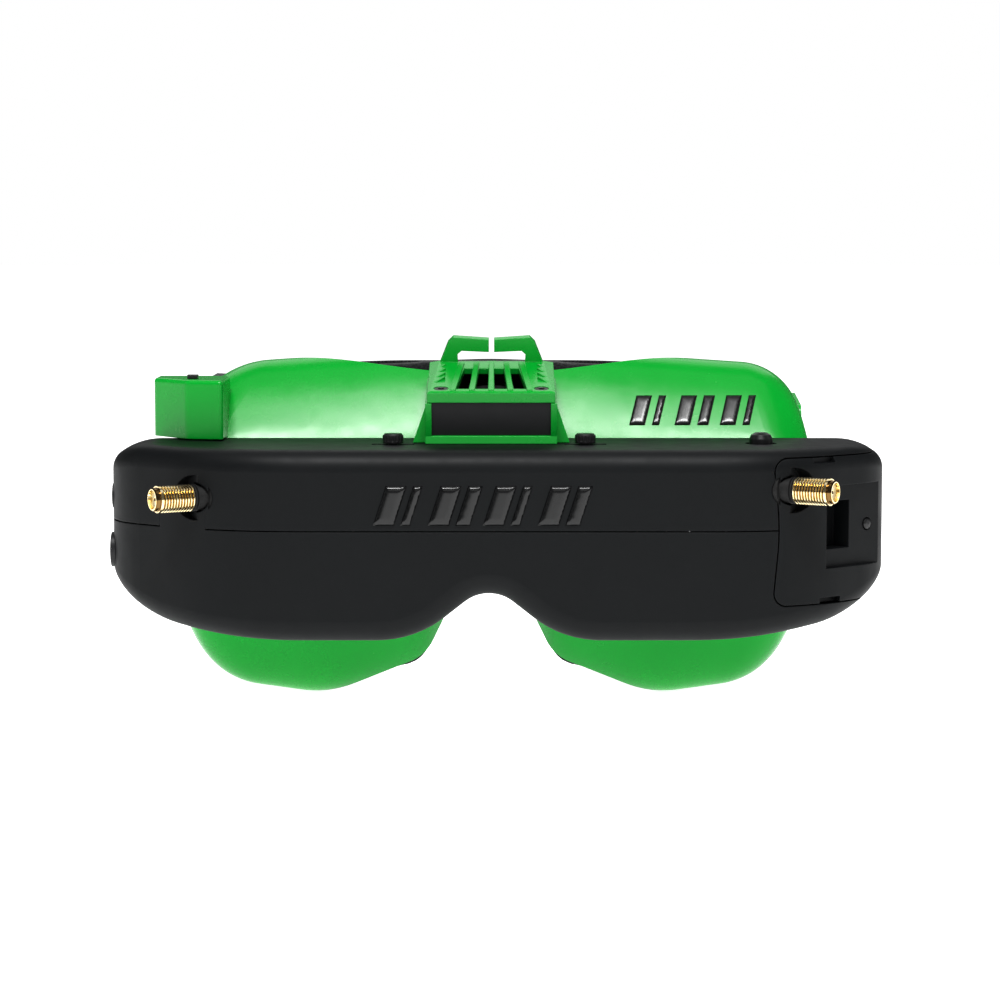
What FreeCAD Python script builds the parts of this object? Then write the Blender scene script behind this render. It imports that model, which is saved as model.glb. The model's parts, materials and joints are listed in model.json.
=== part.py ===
"""FPV goggles: moulded housing, faceplate with fan, twin antenna jacks and sliding optics.

Frame: +Z up, +X to the wearer's left, the front faces -Y and the wearer's face is at +Y.  The origin
lies midway between the eyes: X = 0 is the nose plane, Z = 0 the optical height, and Y = 0 the plane
where the forehead touches the foam.  Millimetres.
"""
import FreeCAD, Part
import math
import os
import re
import Sketcher

V = FreeCAD.Vector
X_AXIS = V(1, 0, 0)
Y_AXIS = V(0, 1, 0)
Z_AXIS = V(0, 0, 1)
SIDES = (("left", -1), ("right", 1))
REACH = 300.0            # longer than the object, for tools that cut right through

doc = FreeCAD.newDocument("FpvGoggles")
sheet = doc.addObject("Spreadsheet::Sheet", "Dimensions")

DIMENSIONS = {
    # housing: silhouette, plan and wall
    "HousingLeft": 91.5,
    "HousingRight": 95.2,
    "HousingTop": 18.9,
    "HousingBottom": 26.0,
    "HousingFront": 60.0,
    "HousingBack": 18.0,
    "ShellWall": 2.4,
    "HousingEdge": 5.0,          # rounding along the front and side edges
    "CornerOverrun": 6.0,        # the silhouette runs past the sides so that their edges stay crisp
    "CornerLow": 19.4,
    "TopCornerLeft": 17.0,
    "TopCornerRight": 16.0,
    "LowCorner": 29.0,
    "LobeStart": 58.0,
    "LobeSweep": 150.0,
    "NotchFoot": 17.4,
    "NotchShoulder": 26.0,
    "NotchApex": 12.4,
    "NotchCrown": 9.1,
    "PlanSide": 36.0,
    "PlanCorner": 22.0,
    "PlanFrontLeft": 62.0,
    "PlanFrontRight": 70.0,
    "PlanBow": 52.0,
    "SeamGap": 0.3,
    # tab of the lower shell around the left jack
    "TabInner": 66.5,
    "TabOuter": 78.0,
    "PostRadius": 3.0,
    "PostDepth": 12.0,
    # bay cover on the right-hand end
    "BayTop": 16.8,
    "BayBottom": 17.6,
    "BayInner": 66.5,
    "BayBow": 68.2,
    "BayBack": 22.0,
    "BayCorner": 3.0,
    "RecessStart": 79.5,
    "RecessTop": 10.0,
    "RecessBottom": 9.5,
    "RecessDepth": 1.6,
    "RecessLength": 22.0,
    "PocketLength": 9.5,
    "PocketTop": 6.2,
    "PocketBottom": 5.2,
    "PocketDepth": 6.6,
    "BackingDepth": 3.2,
    "FingerNotch": 1.3,
    "NotchLength": 6.6,
    "ButtonReach": 15.8,
    "ButtonRadius": 1.25,
    "ButtonFlange": 2.1,
    # antenna jacks, 1/4-36 UNS thread
    "JackThread": 6.35,
    "JackNeck": 5.8,
    "JackPitch": 0.7056,
    "JackGroove": 0.43,
    "JackLength": 10.8,
    "JackCollar": 1.2,
    "JackInside": 0.5,
    "JackYaw": 60.0,
    "JackLeftReach": 69.15,
    "JackLeftHeight": 7.5,
    "JackRightReach": 71.1,
    "JackRightHeight": 9.5,
    "JackBore": 4.2,
    "JackFlange": 8.0,
    "SocketHole": 7.0,
    "SocketPocket": 10.6,
    "SocketBoss": 14.0,
    "SocketFloor": 1.6,
    "ContactRadius": 0.65,
    "ContactBore": 0.45,
    # optics: eye spacing slides and focus
    "EyeSpacing": 64.0,
    "EyeTravel": 3.5,
    "FocusTravel": 2.5,
    "BarrelRadius": 12.0,
    "BarrelFront": 43.5,
    "BarrelBack": 15.0,
    "BarrelWall": 1.4,
    "SlideFit": 0.06,
    "CarriageWide": 30.0,
    "CarriageHigh": 28.0,
    "CarriageFront": 54.0,
    "CarriageBack": 28.0,
    "RodRadius": 1.5,
    "RodHeight": 10.0,
    "RodFront": 50.5,
    "RodReach": 58.0,
    "BracketWide": 6.4,
    "BracketThick": 3.4,
    "BracketLow": 21.3,
    "BracketHigh": 14.0,
    "BracketFoot": 9.0,
    "PanelWide": 15.6,
    "PanelHigh": 12.0,
    "PanelThick": 1.2,
    "PanelFront": 48.8,
    "LensRadius": 10.4,
    "LensThick": 6.0,
    "KnobReach": 23.0,
    "KnobFront": 38.0,
    "KnobRadius": 2.5,
    "KnobHigh": 2.6,
    "KnobShaft": 1.2,
    "KnobShaftFoot": 11.0,
    # faceplate and foam
    "HeadRadius": 110.0,
    "FoamThick": 6.0,
    "FoamWide": 9.5,
    "FoamInset": 1.6,
    "PlateWall": 2.6,
    "FlangeThick": 1.8,
    # fan module, in its own frame
    "FanSide": 30.0,
    "FanHigh": 8.0,
    "FanBore": 14.0,
    "FanTilt": 11.0,
    "FanShift": 0.5,
    "FanFront": 38.0,
    "FanBottom": 21.0,
    "FanHub": 6.3,
    "BladeReach": 13.4,
    "BladeCount": 7,
    "HoodOverlap": 0.3,
    "HoodLip": 2.4,
    "HoodHigh": 3.4,
    "HoodTaper": 2.6,
    "HoodWall": 1.6,
    "EarHigh": 6.2,
    "EarOuter": 13.0,
    "EarInner": 8.4,
    "EarGap": 0.65,
    "EarArm": 3.4,
    "EarThick": 2.6,
    # strap, in its own tilted frame
    "StrapPivotBack": 26.0,
    "StrapPivotHigh": 5.0,
    "StrapTilt": 7.2,
    "StrapWide": 38.0,
    "StrapThick": 1.6,
    "StrapReach": 70.0,
    "EarPlateInner": 76.5,
    "EarPlateOuter": 79.3,
    "StrapPost": 3.5,
    "StrapSlot": 4.0,
    # boards
    "BoardWide": 84.0,
    "BoardHigh": 24.0,
    "BoardLow": 9.0,
    "BoardThick": 1.6,
    "BulkheadReach": 67.2,
    "BulkheadThick": 1.4,
    "BulkheadFront": 47.5,
    "BulkheadBack": 20.5,
    "BulkheadLow": 19.8,
    "BulkheadHigh": 6.5,
    "CardFront": 35.6,
    "CardThick": 1.4,
    "CardLong": 17.4,
    "CardHigh": 25.0,
    "CanThick": 4.5,
    # controls on the shell
    "StickReach": 65.3,
    "StickFront": 35.0,
    "StickRadius": 2.8,
    "StickTop": 21.5,
    "StickHole": 3.8,
    "StickBase": 6.0,
    "StickFloor": 8.6,
    "StickBoardReach": 54.0,
    # sockets on the left side
    "SocketFront": 27.0,
    "PowerHeight": -7.6,
    "PowerCollar": 4.25,
    "PowerBore": 2.8,
    "PowerPin": 1.05,
    "PowerProud": 0.45,
    "AudioHeight": 5.6,
    "AudioCollar": 3.0,
    "AudioBore": 1.8,
}


def fill_sheet():
    """Write one row per dimension: its name, then its value under an alias."""
    for row, (alias, number) in enumerate(DIMENSIONS.items(), start=1):
        sheet.set("A%d" % row, alias)
        sheet.set("B%d" % row, str(number))
        sheet.setAlias("B%d" % row, alias)
    doc.recompute()


fill_sheet()
WORDS = re.compile(r"\b(" + "|".join(DIMENSIONS) + r")\b")


def bound(text):
    """An expression over the sheet's aliases, as other objects must write it."""
    return WORDS.sub(r"Dimensions.\1", text)


def value(text):
    """The number that an expression over the sheet's aliases has now."""
    return float(sheet.evalExpression(text))


NODES = []


def node(item, label):
    """Mark an object as a sub-part and give it its name."""
    item.Label = label
    NODES.append(item)
    return item


# ---------------------------------------------------------------- sketched bodies

def new_body(label):
    return node(doc.addObject("PartDesign::Body", "Body_" + label), label)


def origin_plane(body, role):
    return [item for item in body.Origin.OriginFeatures if item.Role == role][0]


def tie(sketch, index, point, x_text, y_text):
    """Fix one sketch point by two distances from the sketch's origin, bound to the sheet."""
    for axis, text in (("DistanceX", x_text), ("DistanceY", y_text)):
        number = sketch.addConstraint(Sketcher.Constraint(axis, -1, 1, index, point, value(text)))
        sketch.setExpression("Constraints[%d]" % number, bound(text))


def add_polygon(sketch, corners):
    """A closed loop of straight lines through corners given as pairs of expressions."""
    points = [V(value(x), value(y), 0) for x, y in corners]
    first = sketch.GeometryCount
    count = len(points)
    for k in range(count):
        sketch.addGeometry(Part.LineSegment(points[k], points[(k + 1) % count]))
    for k in range(count):
        sketch.addConstraint(Sketcher.Constraint("Coincident", first + k, 2, first + (k + 1) % count, 1))
    for k, (x, y) in enumerate(corners):
        tie(sketch, first + k, 1, x, y)


def add_circle(sketch, x, y, radius):
    index = sketch.addGeometry(Part.Circle(V(value(x), value(y), 0), V(0, 0, 1), value(radius)))
    tie(sketch, index, 3, x, y)
    number = sketch.addConstraint(Sketcher.Constraint("Radius", index, value(radius)))
    sketch.setExpression("Constraints[%d]" % number, bound(radius))


def new_sketch(body, role, name, polygons=(), circles=(), offset="0"):
    sketch = body.newObject("Sketcher::SketchObject", name)
    sketch.AttachmentSupport = [(origin_plane(body, role), "")]
    sketch.MapMode = "FlatFace"
    sketch.setExpression("AttachmentOffset.Base.z", bound(offset))
    for corners in polygons:
        add_polygon(sketch, corners)
    for x, y, radius in circles:
        add_circle(sketch, x, y, radius)
    return sketch


def rectangle(x_low, x_high, y_low, y_high):
    return [(x_low, y_low), (x_high, y_low), (x_high, y_high), (x_low, y_high)]


def add_feature(body, kind, name, sketch, reverse=False, **sizes):
    feature = body.newObject("PartDesign::" + kind, name)
    feature.Profile = sketch
    feature.Reversed = reverse
    for prop, text in sizes.items():
        feature.setExpression(prop, bound(text))
    return feature


def revolve(body, kind, name, corners):
    """Turn a closed profile of (radius, height) corners about the body's Z axis."""
    sketch = new_sketch(body, "XZ_Plane", name + "_profile", [corners])
    feature = body.newObject("PartDesign::" + kind, name)
    feature.Profile = sketch
    feature.ReferenceAxis = (sketch, ["V_Axis"])
    feature.Angle = 360
    return feature


def turned(label, corners):
    body = new_body(label)
    revolve(body, "Revolution", label + "_turning", corners)
    return body


def set_place(item, base, rotation=None):
    item.Placement = FreeCAD.Placement(base, rotation or FreeCAD.Rotation())
    return item


def bind_base(item, x="0", y="0", z="0", rotation=None):
    """Place an item at a point given by expressions, turned by a fixed rotation."""
    set_place(item, V(value(x), value(y), value(z)), rotation)
    for axis, text in (("x", x), ("y", y), ("z", z)):
        item.setExpression("Placement.Base." + axis, bound(text))
    return item


# ---------------------------------------------------------------- primitives and booleans

def block(name, x, y, z, length, width, height):
    """A box bound to the sheet, from its lowest corner."""
    item = doc.addObject("Part::Box", name)
    for prop, text in (("Length", length), ("Width", width), ("Height", height)):
        item.setExpression(prop, bound(text))
    return bind_base(item, x, y, z)


UP = FreeCAD.Rotation()
ALONG_X = FreeCAD.Rotation(Z_AXIS, X_AXIS)


def rod(name, x, y, z, radius, height, rotation=UP):
    """A cylinder bound to the sheet, from the centre of its first end."""
    item = doc.addObject("Part::Cylinder", name)
    item.setExpression("Radius", bound(radius))
    item.setExpression("Height", bound(height))
    return bind_base(item, x, y, z, rotation)


def fuse(name, *items):
    item = doc.addObject("Part::MultiFuse", name)
    item.Shapes = list(items)
    item.Refine = True
    return item


def cut(name, base, *tools):
    item = doc.addObject("Part::Cut", name)
    item.Base = base
    item.Tool = tools[0] if len(tools) == 1 else fuse(name + "_tools", *tools)
    item.Refine = True
    return item


def feature(label, shape, placement=None):
    """A sub-part whose form is computed with Part's own functions."""
    item = doc.addObject("Part::Feature", "Form_" + label)
    item.Shape = shape
    if placement is not None:
        item.Placement = placement
    return node(item, label)


# ---------------------------------------------------------------- outlines with rounded corners

def rounded(corners, to_space):
    """Close a polygon of (x, y, corner radius) with tangent arcs; to_space lifts it into space."""
    count = len(corners)
    turns = []
    for k, (x, y, radius) in enumerate(corners):
        here = V(x, y, 0)
        back = (V(corners[k - 1][0], corners[k - 1][1], 0) - here).normalize()
        ahead_x, ahead_y, _ = corners[(k + 1) % count]
        ahead = (V(ahead_x, ahead_y, 0) - here).normalize()
        turn = math.pi - back.getAngle(ahead)
        reach = radius * math.tan(turn / 2)
        middle = here + (back + ahead).normalize() * (radius / math.cos(turn / 2) - radius)
        turns.append((here + back * reach, middle, here + ahead * reach, radius))
    edges = []
    for k, (start, middle, end, radius) in enumerate(turns):
        if radius > 0:
            edges.append(Part.Arc(to_space(start), to_space(middle), to_space(end)).toShape())
        following = turns[(k + 1) % count][0]
        edges.append(Part.LineSegment(to_space(end), to_space(following)).toShape())
    return Part.Wire(edges)


def inset(corners, depth):
    """Move every side of a rounded polygon inwards; convex corners tighten and hollow ones widen."""
    count = len(corners)
    area = sum(corners[k - 1][0] * corners[k][1] - corners[k][0] * corners[k - 1][1] for k in range(count))
    sense = 1 if area > 0 else -1
    moved = []
    for k, (x, y, radius) in enumerate(corners):
        before = V(x - corners[k - 1][0], y - corners[k - 1][1], 0).normalize()
        ahead_x, ahead_y, _ = corners[(k + 1) % count]
        after = V(ahead_x - x, ahead_y - y, 0).normalize()
        normal_before = V(-before.y, before.x, 0) * sense
        normal_after = V(-after.y, after.x, 0) * sense
        shift = (normal_before + normal_after) * (depth / (1 + normal_before.dot(normal_after)))
        convex = (before.x * after.y - before.y * after.x) * sense > 0
        new_radius = max(radius - depth, 0.4) if convex else radius + depth
        moved.append((x + shift.x, y + shift.y, new_radius if radius > 0 else 0))
    return moved


def front_prism(corners, y_low, y_high):
    """A front-view outline carried along Y."""
    wire = rounded(corners, lambda p: V(p.x, y_low, p.y))
    return Part.Face(wire).extrude(V(0, y_high - y_low, 0))


def plan_prism(corners, z_low, z_high):
    """A plan-view outline carried along Z."""
    wire = rounded(corners, lambda p: V(p.x, p.y, z_low))
    return Part.Face(wire).extrude(V(0, 0, z_high - z_low))


def mirrored(half):
    """A whole outline from its left half: corners on the axis at its two ends stay single."""
    return half + [(-x, y, radius) for x, y, radius in reversed(half[1:-1])]


def box_shape(x_low, x_high, y_low, y_high, z_low, z_high):
    return Part.makeBox(x_high - x_low, y_high - y_low, z_high - z_low, V(x_low, y_low, z_low))


def rod_shape(base, axis, radius, start, end):
    return Part.makeCylinder(radius, end - start, base + axis * start, axis)


def unite(shapes):
    return shapes[0].fuse(shapes[1:]).removeSplitter() if len(shapes) > 1 else shapes[0]


def single(shape):
    """The one solid that a boolean should leave."""
    solids = sorted(shape.Solids, key=lambda part: part.Volume)
    return solids[-1]


# ---------------------------------------------------------------- housing

def housing_silhouette():
    left = -value("HousingLeft + CornerOverrun")
    right = value("HousingRight + CornerOverrun")
    top = value("HousingTop")
    bottom = -value("HousingBottom")
    low = -value("CornerLow")
    lobe = value("LobeStart")
    foot = value("NotchFoot")
    sweep = value("LobeSweep")
    shoulder = value("NotchShoulder")
    return [
        (left, top, value("TopCornerLeft")),
        (left, low, value("LowCorner")),
        (-lobe, bottom, sweep),
        (-foot, bottom, shoulder),
        (0, -value("NotchApex"), value("NotchCrown")),
        (foot, bottom, shoulder),
        (lobe, bottom, sweep),
        (right, low, value("LowCorner")),
        (right, top, value("TopCornerRight")),
    ]


def housing_plan():
    left = -value("HousingLeft")
    right = value("HousingRight")
    front = -value("HousingFront")
    side = -value("PlanSide")
    return [
        (left, 0, 0),
        (left, side, value("PlanCorner")),
        (-value("PlanFrontLeft"), front, value("PlanBow")),
        (value("PlanFrontRight"), front, value("PlanBow - 8")),
        (right, side - 2, value("PlanCorner - 2")),
        (right, 0, 0),
    ]


def sharp_edges(solid, y_limit):
    """Edges in front of y_limit where two faces meet at a visible angle."""
    found = []
    for edge in solid.Edges:
        faces = solid.ancestorsOfType(edge, Part.Face)
        if len(faces) < 2:
            continue
        middle = edge.valueAt((edge.FirstParameter + edge.LastParameter) / 2)
        normals = [face.normalAt(*face.Surface.parameter(middle)) for face in faces]
        if middle.y < y_limit and normals[0].getAngle(normals[1]) > math.radians(8):
            found.append(edge)
    return found


FAR_FRONT = -value("HousingFront") - 20
back = -value("HousingBack")
wall = value("ShellWall")
gap = value("SeamGap")

housing_block = front_prism(housing_silhouette(), FAR_FRONT, 5).common(plan_prism(housing_plan(), -60, 60)).Solids[0]
housing_block = housing_block.makeFillet(value("HousingEdge"), sharp_edges(housing_block, -1))
outer = housing_block.common(box_shape(-REACH, REACH, FAR_FRONT, back, -REACH, REACH))
cavity_plan = [(x, y if y < 0 else y + 10, radius) for x, y, radius in inset(housing_plan(), wall)]
cavity = front_prism(inset(housing_silhouette(), wall), FAR_FRONT, 20)
cavity = cavity.common(plan_prism(cavity_plan, -60, 60))


def surface_depth(x):
    """Y of the housing's front surface at a given X, at the optical height."""
    ray = Part.makeLine(V(x, FAR_FRONT, 1), V(x, back - 1, 1))
    return min(vertex.Y for vertex in outer.common(ray).Vertexes)


def jack_frame(side, sign):
    """Base point on the surface and outward axis of an antenna jack."""
    reach = value("JackLeftReach") if side == "left" else value("JackRightReach")
    height = value("JackLeftHeight") if side == "left" else value("JackRightHeight")
    yaw = math.radians(value("JackYaw"))
    x = sign * reach
    return V(x, surface_depth(x), height), V(sign * math.sin(yaw), -math.cos(yaw), 0)


JACKS = {side: jack_frame(side, sign) for side, sign in SIDES}


def flange_room(side):
    """The space behind the boss that the jack's flange fills, with a little room around it."""
    base, axis = JACKS[side]
    floor = -value("JackInside + SocketFloor")
    return rod_shape(base, axis, value("JackFlange") / 2 + 0.15, floor - 4, floor)


def jack_socket(side):
    """The boss that carries a jack, and the pocket and hole that are cut through it."""
    base, axis = JACKS[side]
    floor = -value("JackInside")
    boss = rod_shape(base, axis, value("SocketBoss") / 2, floor - value("SocketFloor"), 12).common(outer)
    pocket = rod_shape(base, axis, value("SocketPocket") / 2, floor, 25)
    hole = rod_shape(base, axis, value("SocketHole") / 2, floor - 6, 1)
    return boss, pocket.fuse([hole, flange_room(side)])


def screw_post(x, z):
    """A hollow post on the back of the housing for a faceplate screw."""
    depth = value("PostDepth")
    return rod_shape(V(x, back, z), -Y_AXIS, value("PostRadius"), 0, depth)


PLATE_SCREWS = [(-64.0, 12.6), (64.0, 12.6), (-58.0, -16.0), (58.0, -16.0)]
SCREW_SHANK = 1.0


def left_sockets_cut():
    """Round holes in the left side wall for the power and audio sockets."""
    side = V(-value("HousingLeft") - 2, -value("SocketFront"), 0)
    power = rod_shape(side + V(0, 0, value("PowerHeight")), X_AXIS, value("PowerCollar") + 0.05, 0, 8)
    audio = rod_shape(side + V(0, 0, value("AudioHeight")), X_AXIS, value("AudioCollar") + 0.05, 0, 8)
    return power.fuse(audio)


def bay_region(margin):
    """The space that the bay cover fills, grown by a margin."""
    inner = value("BayInner")
    corner = value("BayCorner")
    far = value("HousingRight") + 15
    outline = [
        (inner, value("BayTop"), corner),
        (value("BayBow"), 0, 60),
        (inner, -value("BayBottom"), corner),
        (far, -value("BayBottom"), 0),
        (far, value("BayTop"), 0),
    ]
    return front_prism(inset(outline, -margin) if margin else outline, FAR_FRONT, -value("BayBack") + margin)


shell = outer.cut(cavity)
left_boss, left_tool = jack_socket("left")
posts = [screw_post(x, z).cut(rod_shape(V(x, back, z), -Y_AXIS, SCREW_SHANK, -1, value("PostDepth") - 1.5))
         for x, z in PLATE_SCREWS]
stick_post = rod_shape(V(57, -value("StickFront"), 8.6), Z_AXIS, 2.0, 0, 8.5)
LID_SCREWS = [(-33.0, -24.0, -24.2), (33.0, -24.0, -24.2), (-60.0, -38.0, -22.4), (60.0, -38.0, -22.4)]
lid_posts = []
lid_holes = []
for x, y, seat in LID_SCREWS:
    lid_posts.append(rod_shape(V(x, y, seat), Z_AXIS, 2.8, -1.6, 7).common(outer))
    lid_holes.append(rod_shape(V(x, y, seat), Z_AXIS, 2.05, -9, 0))
    lid_holes.append(rod_shape(V(x, y, seat), Z_AXIS, SCREW_SHANK, -1, 5.4))
main_shell = unite([shell, left_boss] + posts + lid_posts + [stick_post])
for hole in lid_holes:
    main_shell = main_shell.cut(hole)
for tool in (left_tool, flange_room("right"), bay_region(gap), left_sockets_cut()):
    main_shell = main_shell.cut(tool)


def parting_region():
    """Everything below the parting line, with the tab that rises to the left jack's centre."""
    low = box_shape(-REACH, REACH, -REACH, REACH, -REACH, 0)
    tab_plan = [
        (-value("TabOuter"), -5, 0.6),
        (-value("TabOuter"), value("JackLeftHeight"), 0.6),
        (-value("TabInner"), value("JackLeftHeight"), 0.6),
        (-value("TabInner"), -5, 0.6),
    ]
    return low.fuse(front_prism(tab_plan, FAR_FRONT, -40))


def knob_slots():
    """Slots through the top for the two knob shafts as the optics slide."""
    half = value("EyeTravel + KnobShaft + 0.4")
    reach = value("KnobReach")
    width = value("KnobShaft + 0.4")
    front = -value("KnobFront")
    low = value("HousingTop") - 6
    return [box_shape(sign * reach - half, sign * reach + half, front - width, front + width, low, low + 12)
            for _, sign in SIDES]


below = parting_region()
stick_hole = rod_shape(V(value("StickReach"), -value("StickFront"), 10), Z_AXIS, value("StickHole"), 0, 15)
upper_form = main_shell.cut(below).cut(box_shape(-REACH, REACH, -REACH, REACH, 0, gap))
for opening in knob_slots() + [stick_hole]:
    upper_form = upper_form.cut(opening)
feature("upper_shell", single(upper_form))
feature("lower_shell", single(main_shell.common(below)))


# ---------------------------------------------------------------- bay cover

def recess_frame():
    """Corner point, direction along the slanted face and outward normal of the cover's recess."""
    start = V(value("RecessStart"), surface_depth(value("RecessStart")), 0)
    along = V(value("HousingRight - PlanFrontRight"), value("HousingFront - PlanSide") - 2, 0).normalize()
    return start, along, V(along.y, -along.x, 0)


RECESS_START, RECESS_ALONG, RECESS_OUT = recess_frame()
RECESS_TURN = FreeCAD.Rotation(RECESS_ALONG, Z_AXIS, RECESS_OUT, "XYZ")


def recess_box(u_low, u_high, z_low, z_high, w_low, w_high):
    """A box along the slanted face: u along it, z up and w outwards from it."""
    solid = box_shape(u_low, u_high, z_low, z_high, w_low, w_high)
    solid.Placement = FreeCAD.Placement(RECESS_START, RECESS_TURN)
    return solid


right_boss, right_tool = jack_socket("right")
recess_depth = value("RecessDepth")
pocket_depth = value("PocketDepth")
backing = recess_box(-2, value("RecessLength"), -value("RecessBottom") - 1.6, value("RecessTop") + 1.6,
                     -value("BackingDepth"), 1)
pocket_block = recess_box(-2, value("PocketLength") + 1.8, -value("PocketBottom") - 1.8, value("PocketTop") + 1.8,
                          -pocket_depth - 1.6, 1)
cover_form = unite([shell, right_boss, backing.common(outer), pocket_block.common(outer)])
button_point = RECESS_START + RECESS_ALONG * value("ButtonReach") - RECESS_OUT * recess_depth
COVER_TOOLS = [
    right_tool,
    recess_box(0, value("RecessLength") + 4, -value("RecessBottom"), value("RecessTop"), -recess_depth, 8),
    recess_box(0, value("PocketLength"), -value("PocketBottom"), value("PocketTop"), -pocket_depth, 8),
    rod_shape(button_point, RECESS_OUT, value("ButtonRadius") + 0.3, -4, 2),
]
notch_high = value("FingerNotch")
for edge, u_low in ((value("BayTop"), -3.6), (-value("BayBottom"), -1.9)):
    COVER_TOOLS.append(recess_box(u_low, u_low + value("NotchLength"), edge - notch_high, edge + notch_high, -1.6, 6))
cover_form = cover_form.common(bay_region(0))
for tool in COVER_TOOLS:
    cover_form = cover_form.cut(tool)
feature("bay_cover", single(cover_form))

bay_button = turned("bay_button", [
    ("0", "-RecessDepth - 1.6"),
    ("ButtonFlange", "-RecessDepth - 1.6"),
    ("ButtonFlange", "-RecessDepth - 0.8"),
    ("ButtonRadius", "-RecessDepth - 0.8"),
    ("ButtonRadius", "0.2"),
    ("ButtonRadius * 0.7", "0.5"),
    ("0", "0.6"),
])
set_place(bay_button, button_point, FreeCAD.Rotation(Z_AXIS, RECESS_OUT))

# ---------------------------------------------------------------- faceplate, foam and rear panel

# Left halves of the faceplate's outlines, from the top centre round to the nose arch: (x, z, radius).
FLANGE_HALF = [(0, 16.2, 60), (-44, 16.4, 90), (-82.5, 15.6, 13), (-81.0, -18.5, 14), (-41, -23.2, 35),
               (-21, -23.2, 9), (0, -5.0, 10)]
BRIM_HALF = [(0, 40.3, 60), (-44, 37.8, 90), (-79.5, 35.4, 16), (-75, -43.4, 20), (-41, -48.1, 35),
             (-15, -40.6, 10), (0, -4.5, 6)]
LEFT_CROWN = (2, 8.0)     # the outline's corner by the supply box, and how much rounder it is than its pair
SHELL_DEPTH = 22.0        # from the flange to where the shell has opened out fully
SECTION_DEPTHS = (0.0, 5.0, 11.0, 17.0, 22.0, 44.0)


def plate_section(depth):
    """The faceplate's outline at a depth behind the flange; it opens out along a quarter wave."""
    share = math.sin(min(depth / SHELL_DEPTH, 1.0) * math.pi / 2)
    spread = 1 + max(depth - SHELL_DEPTH, 0) * 0.0006
    half = []
    for (x0, z0, r0), (x1, z1, r1) in zip(FLANGE_HALF, BRIM_HALF):
        half.append(((x0 + (x1 - x0) * share) * spread, z0 + (z1 - z0) * share, r0 + (r1 - r0) * share))
    outline = mirrored(half)
    corner, rounder = LEFT_CROWN
    x, z, radius = outline[corner]
    outline[corner] = (x, z, radius + rounder * share)
    return outline


def plate_loft(thinner):
    """The solid inside the faceplate's outlines, each moved inwards by the same amount."""
    wires = []
    for depth in SECTION_DEPTHS:
        y = back + depth
        outline = plate_section(depth)
        outline = inset(outline, thinner) if thinner else outline
        wires.append(rounded(outline, lambda p, y=y: V(p.x, y, p.y)))
    return Part.makeLoft(wires, True, False)


head_centre = V(0, value("HeadRadius"), 0)
foam_front = Part.makeCylinder(value("HeadRadius + FoamThick"), 2 * REACH, head_centre - Z_AXIS * REACH, Z_AXIS)
head = Part.makeCylinder(value("HeadRadius"), 2 * REACH, head_centre - Z_AXIS * REACH, Z_AXIS)
plate_solid = plate_loft(0)
plate_hollow = plate_loft(value("PlateWall"))
flange = front_prism(plate_section(0), back, back + value("FlangeThick"))
plate_form = plate_solid.cut(plate_hollow).fuse(flange.common(plate_solid)).cut(foam_front)


def eye_window(sign, x_inner, x_outer, half_height, radius, y_low, y_high):
    """A rounded window in front of one eye."""
    outline = [(x_inner, -half_height, radius), (x_outer, -half_height, radius),
               (x_outer, half_height, radius), (x_inner, half_height, radius)]
    return front_prism([(sign * x, z, r) for x, z, r in outline], y_low, y_high)


for side, sign in SIDES:
    plate_form = plate_form.cut(eye_window(sign, 13.0, 56.0, 14.2, 6.0, back - 1, back + 3))

strap_frame = FreeCAD.Placement(
    V(0, value("StrapPivotBack"), value("StrapPivotHigh")), FreeCAD.Rotation(X_AXIS, value("StrapTilt")))
ear_low = value("EarPlateInner")
ear_high = value("EarPlateOuter")
slot_front = -value("StrapSlot") / 2
post_front = value("StrapSlot") / 2
post_back = post_front + value("StrapPost")
strap_half = value("StrapWide") / 2


def strap_ear(sign):
    """The flat ear at one temple, with the slot that the strap passes through."""
    low, high = sorted((sign * ear_low, sign * ear_high))
    outline = [(-16, -strap_half - 4.5, 3), (post_back, -strap_half - 4.5, 3),
               (post_back, strap_half + 3.2, 3), (-16, strap_half + 3.2, 3)]
    wire = rounded(outline, lambda p: V(low, p.x, p.y))
    ear = Part.Face(wire).extrude(V(high - low, 0, 0))
    ear.Placement = strap_frame
    return ear


def strap_room(sign, inner, front, rear, below, above):
    """A box at one temple, in the strap's frame, that leaves room for the strap or its ear."""
    low, high = sorted((sign * inner, sign * (ear_high + 6)))
    room = box_shape(low, high, front, rear, -strap_half - below, strap_half + above)
    room.Placement = strap_frame
    return room


for side, sign in SIDES:
    plate_form = plate_form.fuse(strap_ear(sign))
    plate_form = plate_form.cut(strap_room(sign, ear_low - 5, slot_front, post_front, 0.8, 0.8))

fan_tilt = math.radians(value("FanTilt"))
fan_frame_place = FreeCAD.Placement(
    V(value("FanShift"), -value("FanFront"), value("FanBottom")), FreeCAD.Rotation(X_AXIS, value("FanTilt")))
fan_side = value("FanSide")
fan_pocket = box_shape(-fan_side / 2 - 0.15, fan_side / 2 + 0.15, -0.15, fan_side + 0.15, -0.15, 12)
fan_pocket.Placement = fan_frame_place
plate_form = plate_form.cut(fan_pocket)
VENT_COUNT = 5
for k in range(VENT_COUNT):
    x = value("FanShift") + (k - (VENT_COUNT - 1) / 2) * 5.0
    plate_form = plate_form.cut(box_shape(x - 1.5, x + 1.5, back, back + 11, 20.5, 27.5))
for x, z in PLATE_SCREWS:
    plate_form = plate_form.cut(rod_shape(V(x, back, z), Y_AXIS, SCREW_SHANK + 0.2, -1, 4))
feature("faceplate", single(plate_form.removeSplitter()))

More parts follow.
